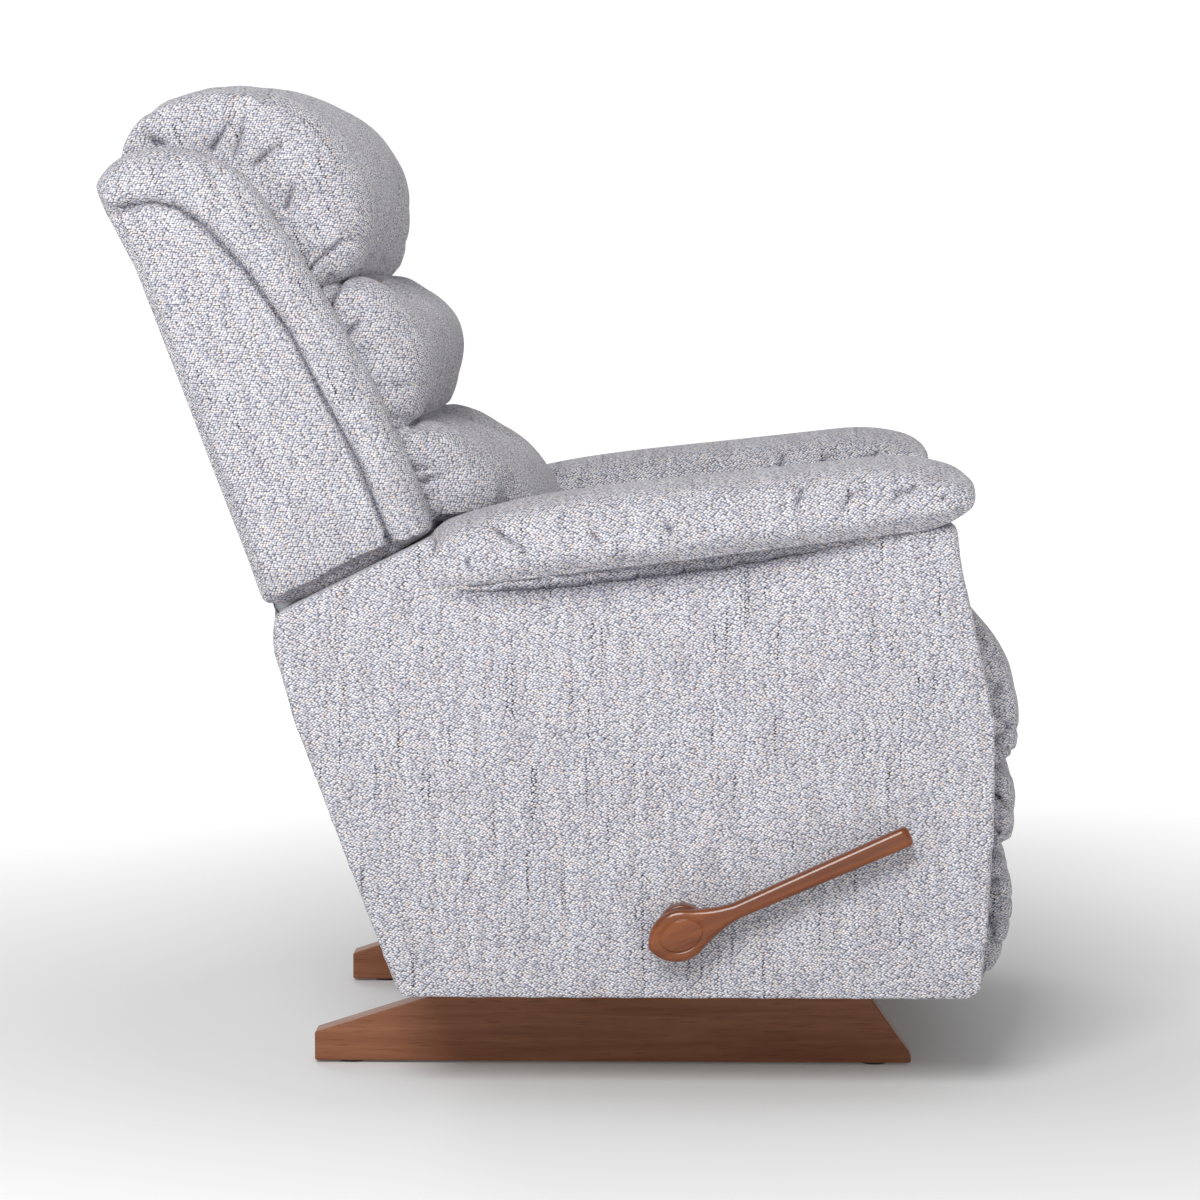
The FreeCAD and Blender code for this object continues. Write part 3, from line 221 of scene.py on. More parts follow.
# Mechanism: pressed and punched bars, plates and brackets with their rivets, rods and bolts.
# Zinc-plated steel, rolled: a cool grey with cloudy spangle and fine scratches along the bars.
SPANGLE = 0.012
SCRATCH_LENGTH, SCRATCH_WIDTH = 0.02, 0.0008        # drawn coarser than real, so that they show
zinc, tree, shader, coords = finish_named("zinc_plated_steel_rolled", Metallic=1.0)
cloud = add(tree, "ShaderNodeTexNoise", {"Vector": coords, "Scale": 1 / SPANGLE, "Detail": 4.0})
tone = add(tree, "ShaderNodeValToRGB", {"Fac": cloud.outputs["Fac"]},
           stops=((0.3, "#85888c"), (0.7, "#b4b7ba")))
gloss = add(tree, "ShaderNodeMapRange", {"Value": cloud.outputs["Fac"], "To Min": 0.3, "To Max": 0.55})
scratch = add(tree, "ShaderNodeMapping", {"Vector": coords, "Scale": (1 / SCRATCH_LENGTH, 1 / SCRATCH_WIDTH,
                                                                      1 / SCRATCH_WIDTH)})
fine = add(tree, "ShaderNodeTexNoise", {"Vector": scratch.outputs["Vector"], "Scale": 1.0, "Detail": 2.0})
bump = add(tree, "ShaderNodeBump", {"Height": fine.outputs["Fac"], "Strength": 0.12, "Distance": 0.0002})
tree.links.new(tone.outputs["Color"], shader.inputs["Base Color"])
tree.links.new(gloss.outputs["Result"], shader.inputs["Roughness"])
tree.links.new(bump.outputs["Normal"], shader.inputs["Normal"])
coat(zinc, "base_corner_brackets", "lower_spring_seats", "upper_spring_seats", "mechanism_plate_left",
     "mechanism_plate_right", "mechanism_bolts", "guide_studs", "support_rod", "drive_rod", "drive_cranks",
     "drive_links", "rear_leg_link_left", "rear_leg_link_right", "rear_link_rivets", "front_leg_link_left",
     "front_leg_link_right", "front_link_rivets", "lower_guide_links", "upper_guide_links",
     "footrest_brackets", "back_hinge_plates", "back_hinge_straps", "back_hinge_pins", "seat_pivot_bolts")


# Springs: two coils of the rocker, and the sinuous wires under the seat and in the back.
# Spring steel, oil-tempered: near black, with a bluish cast and a soft shine.
TEMPER_CLOUD = 0.006
WIRE_FACES_KEPT = 0.25      # share of the sinuous wires' many small faces
temper, tree, shader, coords = finish_named("spring_steel_oil_tempered", Metallic=1.0)
cloud = add(tree, "ShaderNodeTexNoise", {"Vector": coords, "Scale": 1 / TEMPER_CLOUD, "Detail": 3.0})
tone = add(tree, "ShaderNodeValToRGB", {"Fac": cloud.outputs["Fac"]},
           stops=((0.3, "#3a3d43"), (0.7, "#5d6167")))
gloss = add(tree, "ShaderNodeMapRange", {"Value": cloud.outputs["Fac"], "To Min": 0.25, "To Max": 0.5})
tree.links.new(tone.outputs["Color"], shader.inputs["Base Color"])
tree.links.new(gloss.outputs["Result"], shader.inputs["Roughness"])


def apply_to(piece, kind, **settings):
    """Adds a modifier and applies it."""
    modifier = piece.modifiers.new(kind, kind)
    for name, value in settings.items():
        setattr(modifier, name, value)
    made = bpy.data.meshes.new_from_object(piece.evaluated_get(bpy.context.evaluated_depsgraph_get()))
    piece.modifiers.clear()
    piece.data = made


for node, body in (("seat_springs", "seat"), ("back_springs", "back")):
    wires = copy_of("tempered_" + node, node)
    apply_to(wires, "DECIMATE", ratio=WIRE_FACES_KEPT)
    wires.data.shade_smooth()
    dress(wires, body, temper, "spring_steel", node)
coils = copy_of("tempered_rocker_springs", "rocker_springs")
coils.data.shade_smooth()
coils.data.set_sharp_from_angle(angle=math.radians(40))
dress(coils, None, temper, "spring_steel", "rocker_springs")
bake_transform(coils)


# Side covers: tweed drawn tight over the arm boxes and stapled under their lower edge, open below.
# Thin wadding on the boards gives the faces a slight crown and rounds all edges.
NUB = 0.0026                # one nub of the weave, drawn coarser than the finest real ones so that it shows
NUB_SLANT = math.radians(32)
SLUB = 0.05                 # length of a dotted slub
STREAK_WIDTH, STREAK_LENGTH = 0.009, 0.07
FUZZ = 0.0011               # drawn coarser than real fibres, so that it shows
COVER_DEPTH = 0.16
COVER_RIM = 0.022
COVER_POCKET = 0.36
COVER_CROWN, COVER_PULL = 0.005, 0.0008
COVER_FOOT = 0.108
COVER_DRAWN_IN = 0.025      # under the arm pad
REAR_EDGE_TOP, REAR_EDGE_FOOT, REAR_EDGE_LEAN = -0.305, -0.1662, 0.374
REAR_EDGE_SLACK = 0.011
ARM_REAR, ARM_REAR_HEIGHT, ARM_SLOPE = -0.14, 0.538, 0.125      # top of the arm box
ARM_OUTSIDE = 0.39

# Polyester tweed, woven: slanted nubs of near-white, grey and beige yarn with dark gaps between,
# dotted dark slubs and faint warm streaks that run up the cloth, a dull fuzzy surface and no shine.
tweed, tree, shader, coords = finish_named("polyester_tweed_woven", Roughness=0.92, Sheen_Weight=0.12,
                                           Sheen_Roughness=0.6)
shader.inputs["Specular IOR Level"].default_value = 0.15
weave = add(tree, "ShaderNodeUVMap", uv_map="weave").outputs["UV"]
rows = add(tree, "ShaderNodeMapping", {"Vector": weave, "Rotation": (0, 0, NUB_SLANT),
                                       "Scale": (1 / (1.2 * NUB), 1 / (0.8 * NUB), 1)})
nub = add(tree, "ShaderNodeTexVoronoi", {"Vector": rows.outputs["Vector"], "Scale": 1.0,
                                         "Randomness": 0.5}, voronoi_dimensions="2D")
pick = add(tree, "ShaderNodeSeparateColor", {"Color": nub.outputs["Color"]})
yarn = add(tree, "ShaderNodeValToRGB", {"Fac": pick.outputs["Red"]},
           stops=((0.0, "#b1b3bf"), (1.0, "#faf8fa"), (0.2, "#cdcdd7"), (0.5, "#dddce3"),
                  (0.8, "#eae9ee"), (0.92, "#e9dcd1")))
gap = add(tree, "ShaderNodeMapRange", {"Value": nub.outputs["Distance"], "From Min": 0.24,
                                       "From Max": 0.62, "To Max": 0.9})
sunk = add(tree, "ShaderNodeMix", {"Factor": gap.outputs["Result"], 6: yarn.outputs["Color"],
                                   7: linear("#4c4f5e")}, data_type="RGBA")
streak_rows = add(tree, "ShaderNodeMapping", {"Vector": weave, "Scale": (1 / STREAK_WIDTH,
                                                                         1 / STREAK_LENGTH, 1)})
streak = add(tree, "ShaderNodeTexNoise", {"Vector": streak_rows.outputs["Vector"], "Scale": 1.0,
                                          "Detail": 3.0}, noise_dimensions="2D")
warm = add(tree, "ShaderNodeMapRange", {"Value": streak.outputs["Fac"], "From Min": 0.35, "From Max": 0.65,
                                        "To Max": 0.5})
heather = add(tree, "ShaderNodeMix", {"Factor": warm.outputs["Result"], 6: sunk.outputs[2],
                                      7: linear("#e0dad8")}, data_type="RGBA", blend_type="MULTIPLY")
slub_rows = add(tree, "ShaderNodeMapping", {"Vector": weave, "Scale": (1 / NUB, 1 / SLUB, 1)})
slub = add(tree, "ShaderNodeTexVoronoi", {"Vector": slub_rows.outputs["Vector"], "Scale": 1.0,
                                          "Randomness": 0.8}, voronoi_dimensions="2D")
slub_pick = add(tree, "ShaderNodeSeparateColor", {"Color": slub.outputs["Color"]})
rare = add(tree, "ShaderNodeMapRange", {"Value": slub_pick.outputs["Green"], "From Min": 0.955,
                                        "From Max": 0.985})
dotted = add(tree, "ShaderNodeMath", {0: rare.outputs["Result"], 1: gap.outputs["Result"]},
             operation="MULTIPLY")
cloth = add(tree, "ShaderNodeMix", {"Factor": dotted.outputs[0], 6: heather.outputs[2],
                                    7: linear("#1d1e26")}, data_type="RGBA")
# Painted shade: the fold mark darkens the cloth's colour in creases, tucks, seams and the drawn-in band
# under the arm pads.
fold = add(tree, "ShaderNodeAttribute", attribute_name="fold")
painted_fold_shade = add(tree, "ShaderNodeMix", {"Factor": fold.outputs["Fac"], 6: cloth.outputs[2],
                                     7: linear("#80808c")}, data_type="RGBA", blend_type="MULTIPLY")
fuzz = add(tree, "ShaderNodeTexNoise", {"Vector": coords, "Scale": 1 / FUZZ, "Detail": 2.0})
raised = add(tree, "ShaderNodeMath", {0: nub.outputs["Distance"], 1: -1.6, 2: fuzz.outputs["Fac"]},
             operation="MULTIPLY_ADD")
bump = add(tree, "ShaderNodeBump", {"Height": raised.outputs[0], "Strength": 0.5, "Distance": 0.001})
tree.links.new(painted_fold_shade.outputs[2], shader.inputs["Base Color"])
tree.links.new(bump.outputs["Normal"], shader.inputs["Normal"])


def points_of(piece, what="co"):
    """Places or normals of a piece's vertices."""
    values = np.zeros(len(piece.data.vertices) * 3, np.float32)
    if what == "co":
        piece.data.vertices.foreach_get("co", values)
    else:
        piece.data.vertex_normals.foreach_get("vector", values)
    return values.reshape(-1, 3).astype(float)


def place_points(piece, points):
    """Moves a piece's vertices to these places."""
    piece.data.vertices.foreach_set("co", points.astype(np.float32).ravel())
    piece.data.update()


def ramp(values, start, end):
    """0 up to start, 1 from end on and a straight rise between them. It falls where end is the lower one."""
    return np.clip((values - start) / (end - start), 0, 1)


def press(piece, depth_at):
    """Sinks the surface by depth_at(points, normals), along its normals."""
    points, normals = points_of(piece), points_of(piece, "normal")
    place_points(piece, points - normals * depth_at(points, normals)[:, None])


def crease(piece, depth_at, shallow, deep):
    """Presses folds into a piece and marks them as painted shade: the cloth's colour is darkened where they
    are deep.
    """
    depth = depth_at(points_of(piece), points_of(piece, "normal"))
    press(piece, lambda points, normals: depth)
    painted_shade_mark = piece.data.attributes.new("fold", "FLOAT", "POINT")
    painted_shade_mark.data.foreach_set("value", ramp(depth, shallow, deep).astype(np.float32))


def even(piece, voxel, smooth):
    """Remeshes a piece to small even faces and softens its edges."""
    apply_to(piece, "REMESH", mode="VOXEL", voxel_size=voxel)
    apply_to(piece, "SMOOTH", factor=0.5, iterations=smooth)
    piece.data.shade_smooth()


def stuff(piece, voxel, slack, pressure, swell, held, grow=0.0, smooth=2):
    """Remeshes a pad, draws it in, and blows it up as cloth that is held where held(points) says."""
    even(piece, voxel, 4)
    press(piece, lambda points, normals: np.full(len(points), slack))
    start = points_of(piece)
    group = piece.vertex_groups.new(name="held")
    grip = np.round(held(start) * 8).astype(int)
    for step in range(1, 9):
        group.add([int(i) for i in np.where(grip == step)[0]], step / 8, "REPLACE")
    cloth = piece.modifiers.new("cloth", "CLOTH")
    cloth.settings.quality = 3
    cloth.settings.mass = 0.3
    cloth.settings.tension_stiffness = cloth.settings.compression_stiffness = 12
    cloth.settings.shear_stiffness = 8
    cloth.settings.bending_stiffness = 0.4
    cloth.settings.use_pressure = True
    cloth.settings.uniform_pressure_force = pressure
    cloth.settings.shrink_min = -grow
    cloth.settings.vertex_group_mass = "held"
    cloth.settings.effector_weights.gravity = 0
    cloth.collision_settings.use_collision = False
    for step in range(1, 21):
        bpy.context.scene.frame_set(step)
    blown = piece.evaluated_get(bpy.context.evaluated_depsgraph_get())
    after = np.zeros(len(start) * 3, np.float32)
    blown.data.vertices.foreach_get("co", after)
    move = after.reshape(-1, 3).astype(float) - start
    length = np.linalg.norm(move, axis=1)
    move *= (swell * np.tanh(length / swell) / np.maximum(length, 1e-9))[:, None]
    piece.modifiers.clear()
    piece.vertex_groups.clear()
    bpy.context.scene.frame_set(1)
    place_points(piece, start + move)
    apply_to(piece, "SMOOTH", factor=0.5, iterations=smooth)
    return piece


def finer(piece):
    """One subdivision of a pad."""
    apply_to(piece, "SUBSURF", levels=1, render_levels=1)
    piece.data.shade_smooth()
    return piece


def mirrored(piece, name):
    """The same pad for the other side of the chair."""
    shape = bmesh.new()
    shape.from_mesh(piece.data)
    bmesh.ops.scale(shape, vec=(1, -1, 1), verts=shape.verts)
    bmesh.ops.reverse_faces(shape, faces=shape.faces)
    twin = piece_of(name, shape)
    twin.data.shade_smooth()
    return twin


def in_tweed(piece, body, tilt, *replaced):
    """Lays the weave on a piece, in metres across and along each face's main direction, and dresses it."""
    mesh = piece.data
    faces = np.zeros(len(mesh.polygons) * 3, np.float32)
    mesh.polygons.foreach_get("normal", faces)
    sides = np.zeros(len(mesh.polygons), np.int32)
    mesh.polygons.foreach_get("loop_total", sides)
    corners = np.zeros(len(mesh.loops), np.int32)
    mesh.loops.foreach_get("vertex_index", corners)
    turn = np.array([[math.cos(tilt), 0, math.sin(tilt)], [0, 1, 0], [-math.sin(tilt), 0, math.cos(tilt)]])
    main = np.repeat(np.argmax(np.abs(faces.reshape(-1, 3) @ turn.T), axis=1), sides)
    flat = (points_of(piece) @ turn.T)[corners]
    across = np.where(main == 0, flat[:, 1], flat[:, 0])
    along = np.where(main == 2, flat[:, 1], flat[:, 2])
    weave_map = mesh.uv_layers.new(name="weave")
    weave_map.uv.foreach_set("vector", np.stack([across, along], axis=1).astype(np.float32).ravel())
    return dress(piece, body, tweed, "tweed", *replaced)


def near(values, middle, width):
    """A bell of height 1 and this half width."""
    return np.exp(-((values - middle) / width) ** 2)


def tucks(across, up, lines, width):
    """Short sharp folds, that run out at the second end of each line, as shares of their full depth."""
    flat = np.stack([across, up], axis=1)
    deepest = np.zeros(len(flat))
    for ends in lines:
        a, b = np.array(ends[:2]) / 1000, np.array(ends[2:]) / 1000
        along = np.clip(((flat - a) @ (b - a)) / ((b - a) @ (b - a)), 0, 1)
        reach = np.linalg.norm(flat - a - along[:, None] * (b - a), axis=1)
        deepest = np.maximum(deepest, (1 - 0.6 * along ** 2) * near(reach, 0, width))
    return deepest


def verts_of(grown):
    """The vertices that an extrusion made."""
    return [part for part in grown["geom"] if isinstance(part, bmesh.types.BMVert)]


shape = bmesh.new()
shape.from_mesh(nodes["side_cover_left"].data)
bmesh.ops.remove_doubles(shape, verts=shape.verts, dist=1e-5)
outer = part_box("side_cover_left")[1].y
other = [f for f in shape.faces if f.normal.y < 0.99 or f.calc_center_median().y < outer - 1e-4]
bmesh.ops.delete(shape, geom=other, context="FACES")
bmesh.ops.dissolve_limit(shape, angle_limit=math.radians(1), verts=shape.verts, edges=shape.edges)
grown = bmesh.ops.extrude_face_region(shape, geom=shape.faces[:])
bmesh.ops.translate(shape, vec=(0, -COVER_DEPTH, 0), verts=verts_of(grown))
bmesh.ops.recalc_face_normals(shape, faces=shape.faces)
mouth = [f for f in shape.faces if f.normal.z < -0.98 and f.calc_area() > 0.02]
bmesh.ops.inset_region(shape, faces=mouth, thickness=COVER_RIM, depth=0)
grown = bmesh.ops.extrude_face_region(shape, geom=mouth)
bmesh.ops.delete(shape, geom=mouth, context="FACES")
bmesh.ops.translate(shape, vec=(0, 0, COVER_POCKET), verts=verts_of(grown))
cover_left = piece_of("tweed_side_left", shape)


def cover_crown(points, normals):
    """The wadding lifts the middle of the outer face, and the pull of the staples waves its lower edge."""
    low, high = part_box("side_cover_left")
    across = ramp(points[:, 0], low.x, high.x)
    up = ramp(points[:, 2], low.z, high.z)
    face = np.clip(normals[:, 1], 0, 1)
    crown = COVER_CROWN * np.sin(np.pi * across) ** 0.6 * np.sin(np.pi * up) ** 0.6
    pull = COVER_PULL * np.sin(points[:, 0] * 105 + 1.2 * np.sin(points[:, 0] * 23)) * (1 - up) ** 6
    return -(crown + pull) * face


def over_box(points):
    """Height over the top of the arm box."""
    return points[:, 2] - ARM_REAR_HEIGHT - (points[:, 0] - ARM_REAR) * ARM_SLOPE


def on_outer_side(points):
    """1 on the outer side of an arm, 0 on the rest of it."""
    return ramp(points[:, 1], ARM_OUTSIDE, ARM_OUTSIDE + 0.02)


def cover_drawn_in(points, normals):
    """The cover is drawn in under the overhang of the arm pad, deepest at the middle of the arm."""
    along = ramp(points[:, 0], -0.15, -0.01) * ramp(points[:, 0], 0.36, 0.16)
    outside = ramp(normals[:, 1], 0, 0.5) * on_outer_side(points)
    below = np.clip(-over_box(points) - 0.010, 0, 1)
    return COVER_DRAWN_IN * along * outside * np.exp(-below / 0.014)


even(cover_left, voxel=0.006, smooth=5)
press(cover_left, cover_crown)
points = points_of(cover_left)
rear_edge = np.maximum(REAR_EDGE_TOP, REAR_EDGE_FOOT - (points[:, 2] - COVER_FOOT) * REAR_EDGE_LEAN)
slack = ramp(points[:, 0], rear_edge + 0.06, rear_edge) * ramp(points[:, 2], 0.5, 0.4)
points[:, 0] -= REAR_EDGE_SLACK * slack
place_points(cover_left, points)
# Painted shadow: the fold mark also darkens the drawn-in band under the arm pad, as shade beneath its
# overhang.
crease(cover_left, cover_drawn_in, shallow=0.002, deep=0.019)
cover_right = mirrored(cover_left, "tweed_side_right")
in_tweed(cover_left, "body", 0.0, "side_cover_left")
in_tweed(cover_right, "body", 0.0, "side_cover_right")


# Arm pads: bolsters of foam and wadding in tweed, rolled over at the nose.
# The cover is gathered along its lower outer edge and stapled under the overhang.
pad_left = copy_of("tweed_arm_pad_left", "arm_pad_left")
pad_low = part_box("arm_pad_left")[0]
PAD_TUCKS = ((-75, 601, -42, 576), (-102, 567, -101, 556), (27, 597, 36, 584), (105, 603, 109, 592),
             (243, 645, 233, 614), (294, 640, 284, 622), (347, 646, 327, 622), (387, 636, 384, 631),
             (358, 648, 343, 636))      # in mm, along the chair and up
PAD_GATHER_DEPTH, PAD_TUCK_DEPTH = 0.0034, 0.006
PAD_SUNK = 0.007
PAD_TAIL = 0.02             # the rear end runs into the cover
LIP_TUCK, LIP_HEIGHT = 0.014, 0.02
REAR_SPREAD = 0.003


def pad_held(points):
    """The underside is sunk into the arm box."""
    return ramp(over_box(points), 0.008, -0.004)


def pad_gathers(points, normals):
    """Short tucks that run up from the lower edge of both long sides."""
    x = points[:, 0]
    wave = np.sin(x * 150 + 1.7 * np.sin(x * 31)) * np.sin(x * 57 + 0.8)
    sides = np.clip(np.abs(normals[:, 1]) * 1.4 - 0.2, 0, 1)
    low = ramp(over_box(points), 0.05, 0)
    gathers = PAD_GATHER_DEPTH * np.clip(wave, -0.4, 1) * low ** 0.7
    return sides * (gathers + PAD_TUCK_DEPTH * tucks(x, points[:, 2], PAD_TUCKS, width=0.003))


points = points_of(pad_left)
rear_end = ramp(points[:, 0], pad_low.x + 0.004, pad_low.x + 0.002)
sunk_in = PAD_SUNK * ramp(over_box(points), 0.006, 0)
points[:, 2] -= PAD_TAIL * rear_end * over_box(points) / 0.06 + sunk_in
points[:, 0] -= PAD_TAIL * rear_end
place_points(pad_left, points)
stuff(pad_left, voxel=0.005, slack=0.003, pressure=4.0, swell=0.014, held=pad_held, grow=0.02)
finer(pad_left)
points = points_of(pad_left)
under = ramp(over_box(points), LIP_HEIGHT, 0) ** 1.5
points[:, 1] -= LIP_TUCK * under * on_outer_side(points) * ramp(points[:, 0], -0.1, 0)
points[:, 1] += REAR_SPREAD * on_outer_side(points) * ramp(points[:, 0], -0.08, -0.11)
place_points(pad_left, points)
# Painted shade darkens the cloth where these gathers and tucks are deep.
crease(pad_left, pad_gathers, shallow=0.002, deep=0.007)
pad_right = mirrored(pad_left, "tweed_arm_pad_right")
for side, pad in (("left", pad_left), ("right", pad_right)):
    in_tweed(pad, "body", 0.0, "arm_pad_" + side)


# Rear cover of the body: a tweed panel stretched between the arm boxes below the back.
# Its edges are turned in over card and the face is slightly crowned by wadding.
PANEL_CROWN = 0.005
REAR_COVER_TILT = 0.36


def crowned(half):
    """The wadding's crown on a rear panel of this half width."""
    def depth_at(points, normals):
        return -PANEL_CROWN * np.cos(points[:, 1] / half * np.pi / 2) * np.clip(-normals[:, 0], 0, 1)
    return depth_at


rear = copy_of("tweed_rear_panel", "rear_cover")
even(rear, voxel=0.005, smooth=2)
press(rear, crowned(half=0.272))
in_tweed(rear, "body", REAR_COVER_TILT, "rear_cover")


# Seat cushion: a foam block on the sinuous springs, wrapped in wadding and tweed.
# A sewn channel sets off the front roll from the seat itself.
seat = copy_of("tweed_seat_cushion", "seat_cushion")
seat_low, seat_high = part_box("seat_cushion")
SEAT_ROLL = 0.12
SEAT_SEAM_DEPTH, SEAT_SEAM_WIDTH = 0.007, 0.008


def seat_held(points):
    """The cushion is glued to its platform."""
    return ramp(points[:, 2], seat_low.z + 0.018, seat_low.z + 0.006)


def seat_seam(points, normals):
    """The channel behind the front roll, with the pull of its stitches."""
    line = seat_high.x - SEAT_ROLL
    top = np.clip(normals[:, 2], 0, 1)
    pucker = 1 + 0.25 * np.sin(points[:, 1] * 240)
    return SEAT_SEAM_DEPTH * near(points[:, 0], line, SEAT_SEAM_WIDTH) * top * pucker


stuff(seat, voxel=0.0075, slack=0.004, pressure=4.0, swell=0.022, held=seat_held, grow=0.01)
finer(seat)
# Painted shade darkens the cloth in the seat's channel.
crease(seat, seat_seam, shallow=0.003, deep=0.009)
in_tweed(seat, "seat", 0.0, "seat_cushion")


# Band under the seat's front roll: a strip of tweed drawn down over the front rail and stapled below it.
# Only the chair with its footrest out, or its seat tilted, shows it.
CLOTH_THICK = 0.0015
BAND_HALF = 0.265
BAND_LINE = ((0.370, 0.3748), (0.394, 0.3748), (0.3972, 0.3755), (0.3982, 0.379), (0.3986, 0.400),
             (0.3995, 0.418), (0.403, 0.430))


def strip_of(name, line, half):
    """A strip of cloth with this line of x and z as its section, and its length along the line."""
    shape = bmesh.new()
    bmesh.ops.create_grid(shape, x_segments=len(line) - 1, y_segments=80, size=1.0)
    for v in shape.verts:
        x, z = line[round((v.co.x + 1) / 2 * (len(line) - 1))]
        v.co = (x, v.co.y * half, z)
    bmesh.ops.solidify(shape, geom=shape.faces[:], thickness=CLOTH_THICK)
    bmesh.ops.recalc_face_normals(shape, faces=shape.faces)
    strip = piece_of(name, shape)
    strip.data.shade_smooth()
    return strip, float(np.linalg.norm(np.diff(np.array(line), axis=0), axis=1).sum())


band, band_length = strip_of("tweed_seat_band", BAND_LINE, BAND_HALF)
in_tweed(band, "seat", 0.0)


# Back pillows: three overstuffed sacks of fibre, sewn to the back in two deep creases.
# Their ends are gathered where they are pulled in between the wings.
# The lowest one is not carried by the back, so it stays put as the back leans.
BACK_FOOT = (-0.313, 0.523)
BACK_TILT = math.radians(21.4)
BACK_UP = np.array((-math.sin(BACK_TILT), 0, math.cos(BACK_TILT)))
BACK_FORWARD = np.array((math.cos(BACK_TILT), 0, math.sin(BACK_TILT)))
FAN_DEPTH, TUCK_DEPTH = 0.004, 0.0085
LOWER_PLUMP, LOWER_FLAP = 0.012, 0.015


def back_axes(points):
    """Distance forward of the back's rear face and up along it."""
    from_foot = points - (BACK_FOOT[0], 0, BACK_FOOT[1])
    return from_foot @ BACK_FORWARD, from_foot @ BACK_UP


def pillow_held(points):
    """A pillow is sewn to the back behind, and lightly held at both ends."""
    n, s = back_axes(points)
    behind = ramp(n, 0.092, 0.062)
    ends = ramp(np.abs(points[:, 1]), 0.312, 0.324) * ramp(n, 0.17, 0.12)
    return np.maximum(behind, ends)


def end_gathers(centre, reach, phase, lines):
    """Soft gathers that fan out over a pillow's ends, and the sharp tucks beside the wings."""
    def depth_at(points, normals):
        n, s = back_axes(points)
        angle = np.arctan2(s - centre[1], n - centre[0])
        out = np.hypot(s - centre[1], n - centre[0])
        fold = 1 - np.abs(np.sin(angle * 6.5 + phase + 0.9 * np.sin(angle * 4.1 + phase)))
        on_end = ramp(np.abs(points[:, 1]), 0.21, 0.27)
        fan = FAN_DEPTH * fold ** 2.5 * near(out, reach, reach * 0.45)
        return on_end * (fan + TUCK_DEPTH * tucks(n, s, lines, width=0.003))
    return depth_at


# In mm, forward and up along the back.
HEAD_TUCKS = ((66, 484, 46, 503), (112, 462, 144, 486), (132, 448, 162, 486), (146, 430, 192, 444),
              (160, 376, 186, 404), (156, 304, 204, 320))
MIDDLE_TUCKS = ((152, 246, 186, 286), (168, 226, 200, 240), (184, 104, 214, 114))
LOWER_TUCKS = ((174, 74, 212, 62), (168, 28, 204, 40), (176, 52, 212, 54))
for name, centre, reach, phase, lines in (("head", (0.03, 0.33), 0.16, 0.4, HEAD_TUCKS),
                                          ("middle", (0.10, 0.19), 0.10, 1.7, MIDDLE_TUCKS),
                                          ("lower", (0.12, 0.05), 0.11, 2.6, LOWER_TUCKS)):
    pillow = copy_of("tweed_" + name + "_pillow", name + "_pillow")
    stuff(pillow, voxel=0.006, slack=0.004, pressure=4.5, swell=0.026, held=pillow_held, grow=0.015)
    finer(pillow)
    if name == "lower":
        points, normals = points_of(pillow), points_of(pillow, "normal")
        plump = LOWER_PLUMP * ramp(back_axes(points)[1], 0.01, 0.08)
        points += plump[:, None] * BACK_UP
        flap = ramp(np.abs(points[:, 1]), 0.25, 0.27) * np.clip(-3 * normals[:, 2], 0, 1)
        points[:, 2] -= LOWER_FLAP * flap
        place_points(pillow, points)
    # Painted shade darkens the cloth where the end gathers and tucks are deep.
    crease(pillow, end_gathers(centre, reach, phase, lines), shallow=0.003, deep=0.011)
    in_tweed(pillow, None if name == "lower" else "back", BACK_TILT, name + "_pillow")
    if name == "lower":
        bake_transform(pillow)


# Wings: plywood ears padded on both sides, with a flat outer panel and a round bolster in front.
# The bolster is set off from the panel by a deep sewn seam with a row of top stitches beside it.
SEAM_LINE = ((142, -10), (142, 97), (133, 168), (125, 250), (107, 324), (81, 388), (64, 413), (44, 426),
             (22, 430), (2, 427))       # in mm, forward and up along the back
SEAM_DEPTH, PANEL_SET_BACK = 0.019, 0.010
STITCH_DEPTH, STITCH_OFF = 0.002, 0.026
WING_CORNER_BACK, WING_CORNER_UP = 0.010, 0.004
WING_SLACK, WING_FOOT_DROP = 0.0115, 0.0035
wing_left = copy_of("tweed_wing_left", "back_wing_left")
wing_low, wing_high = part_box("back_wing_left")


def off_seam(points):
    """Distance of each point from the wing's seam in the plane of the wing, above 0 on the bolster."""
    n, s = back_axes(points)
    flat = np.stack([n, s], axis=1)
    best, side = np.full(len(flat), 9.0), np.ones(len(flat))
    for a, b in zip(SEAM_LINE[:-1], SEAM_LINE[1:]):
        a, b = np.array(a) / 1000, np.array(b) / 1000
        along = np.clip(((flat - a) @ (b - a)) / ((b - a) @ (b - a)), 0, 1)
        reach = np.linalg.norm(flat - a - along[:, None] * (b - a), axis=1)
        cross = (b - a)[0] * (flat - a)[:, 1] - (b - a)[1] * (flat - a)[:, 0]
        side = np.where(reach < best, -np.sign(cross), side)
        best = np.minimum(best, reach)
    return best * side


def wing_held(points):
    """A wing is tacked along the seam, down its rear edge and over its inner face."""
    n, s = back_axes(points)
    outside = ramp(points[:, 1], wing_high.y - 0.02, wing_high.y - 0.01)
    seam = near(off_seam(points), 0, 0.008) * outside
    inner = ramp(points[:, 1], wing_low.y + 0.014, wing_low.y + 0.004)
    return np.maximum.reduce([seam, inner * 0.6, ramp(n, 0.016, 0.006)])


def wing_seams(points, normals):
    """The panel lies behind the bolster, with the seam's groove between them and stitches on the bolster."""
    outside = ramp(points[:, 1], wing_high.y - 0.035, wing_high.y - 0.02)
    away = off_seam(points)
    core = np.exp(-(away / 0.004) ** 2)
    groove = np.where(away > 0, SEAM_DEPTH * np.exp(-np.abs(away) / 0.009),
                      SEAM_DEPTH * core + PANEL_SET_BACK * (1 - core))
    return (groove + STITCH_DEPTH * near(away, STITCH_OFF, 0.0025)) * outside


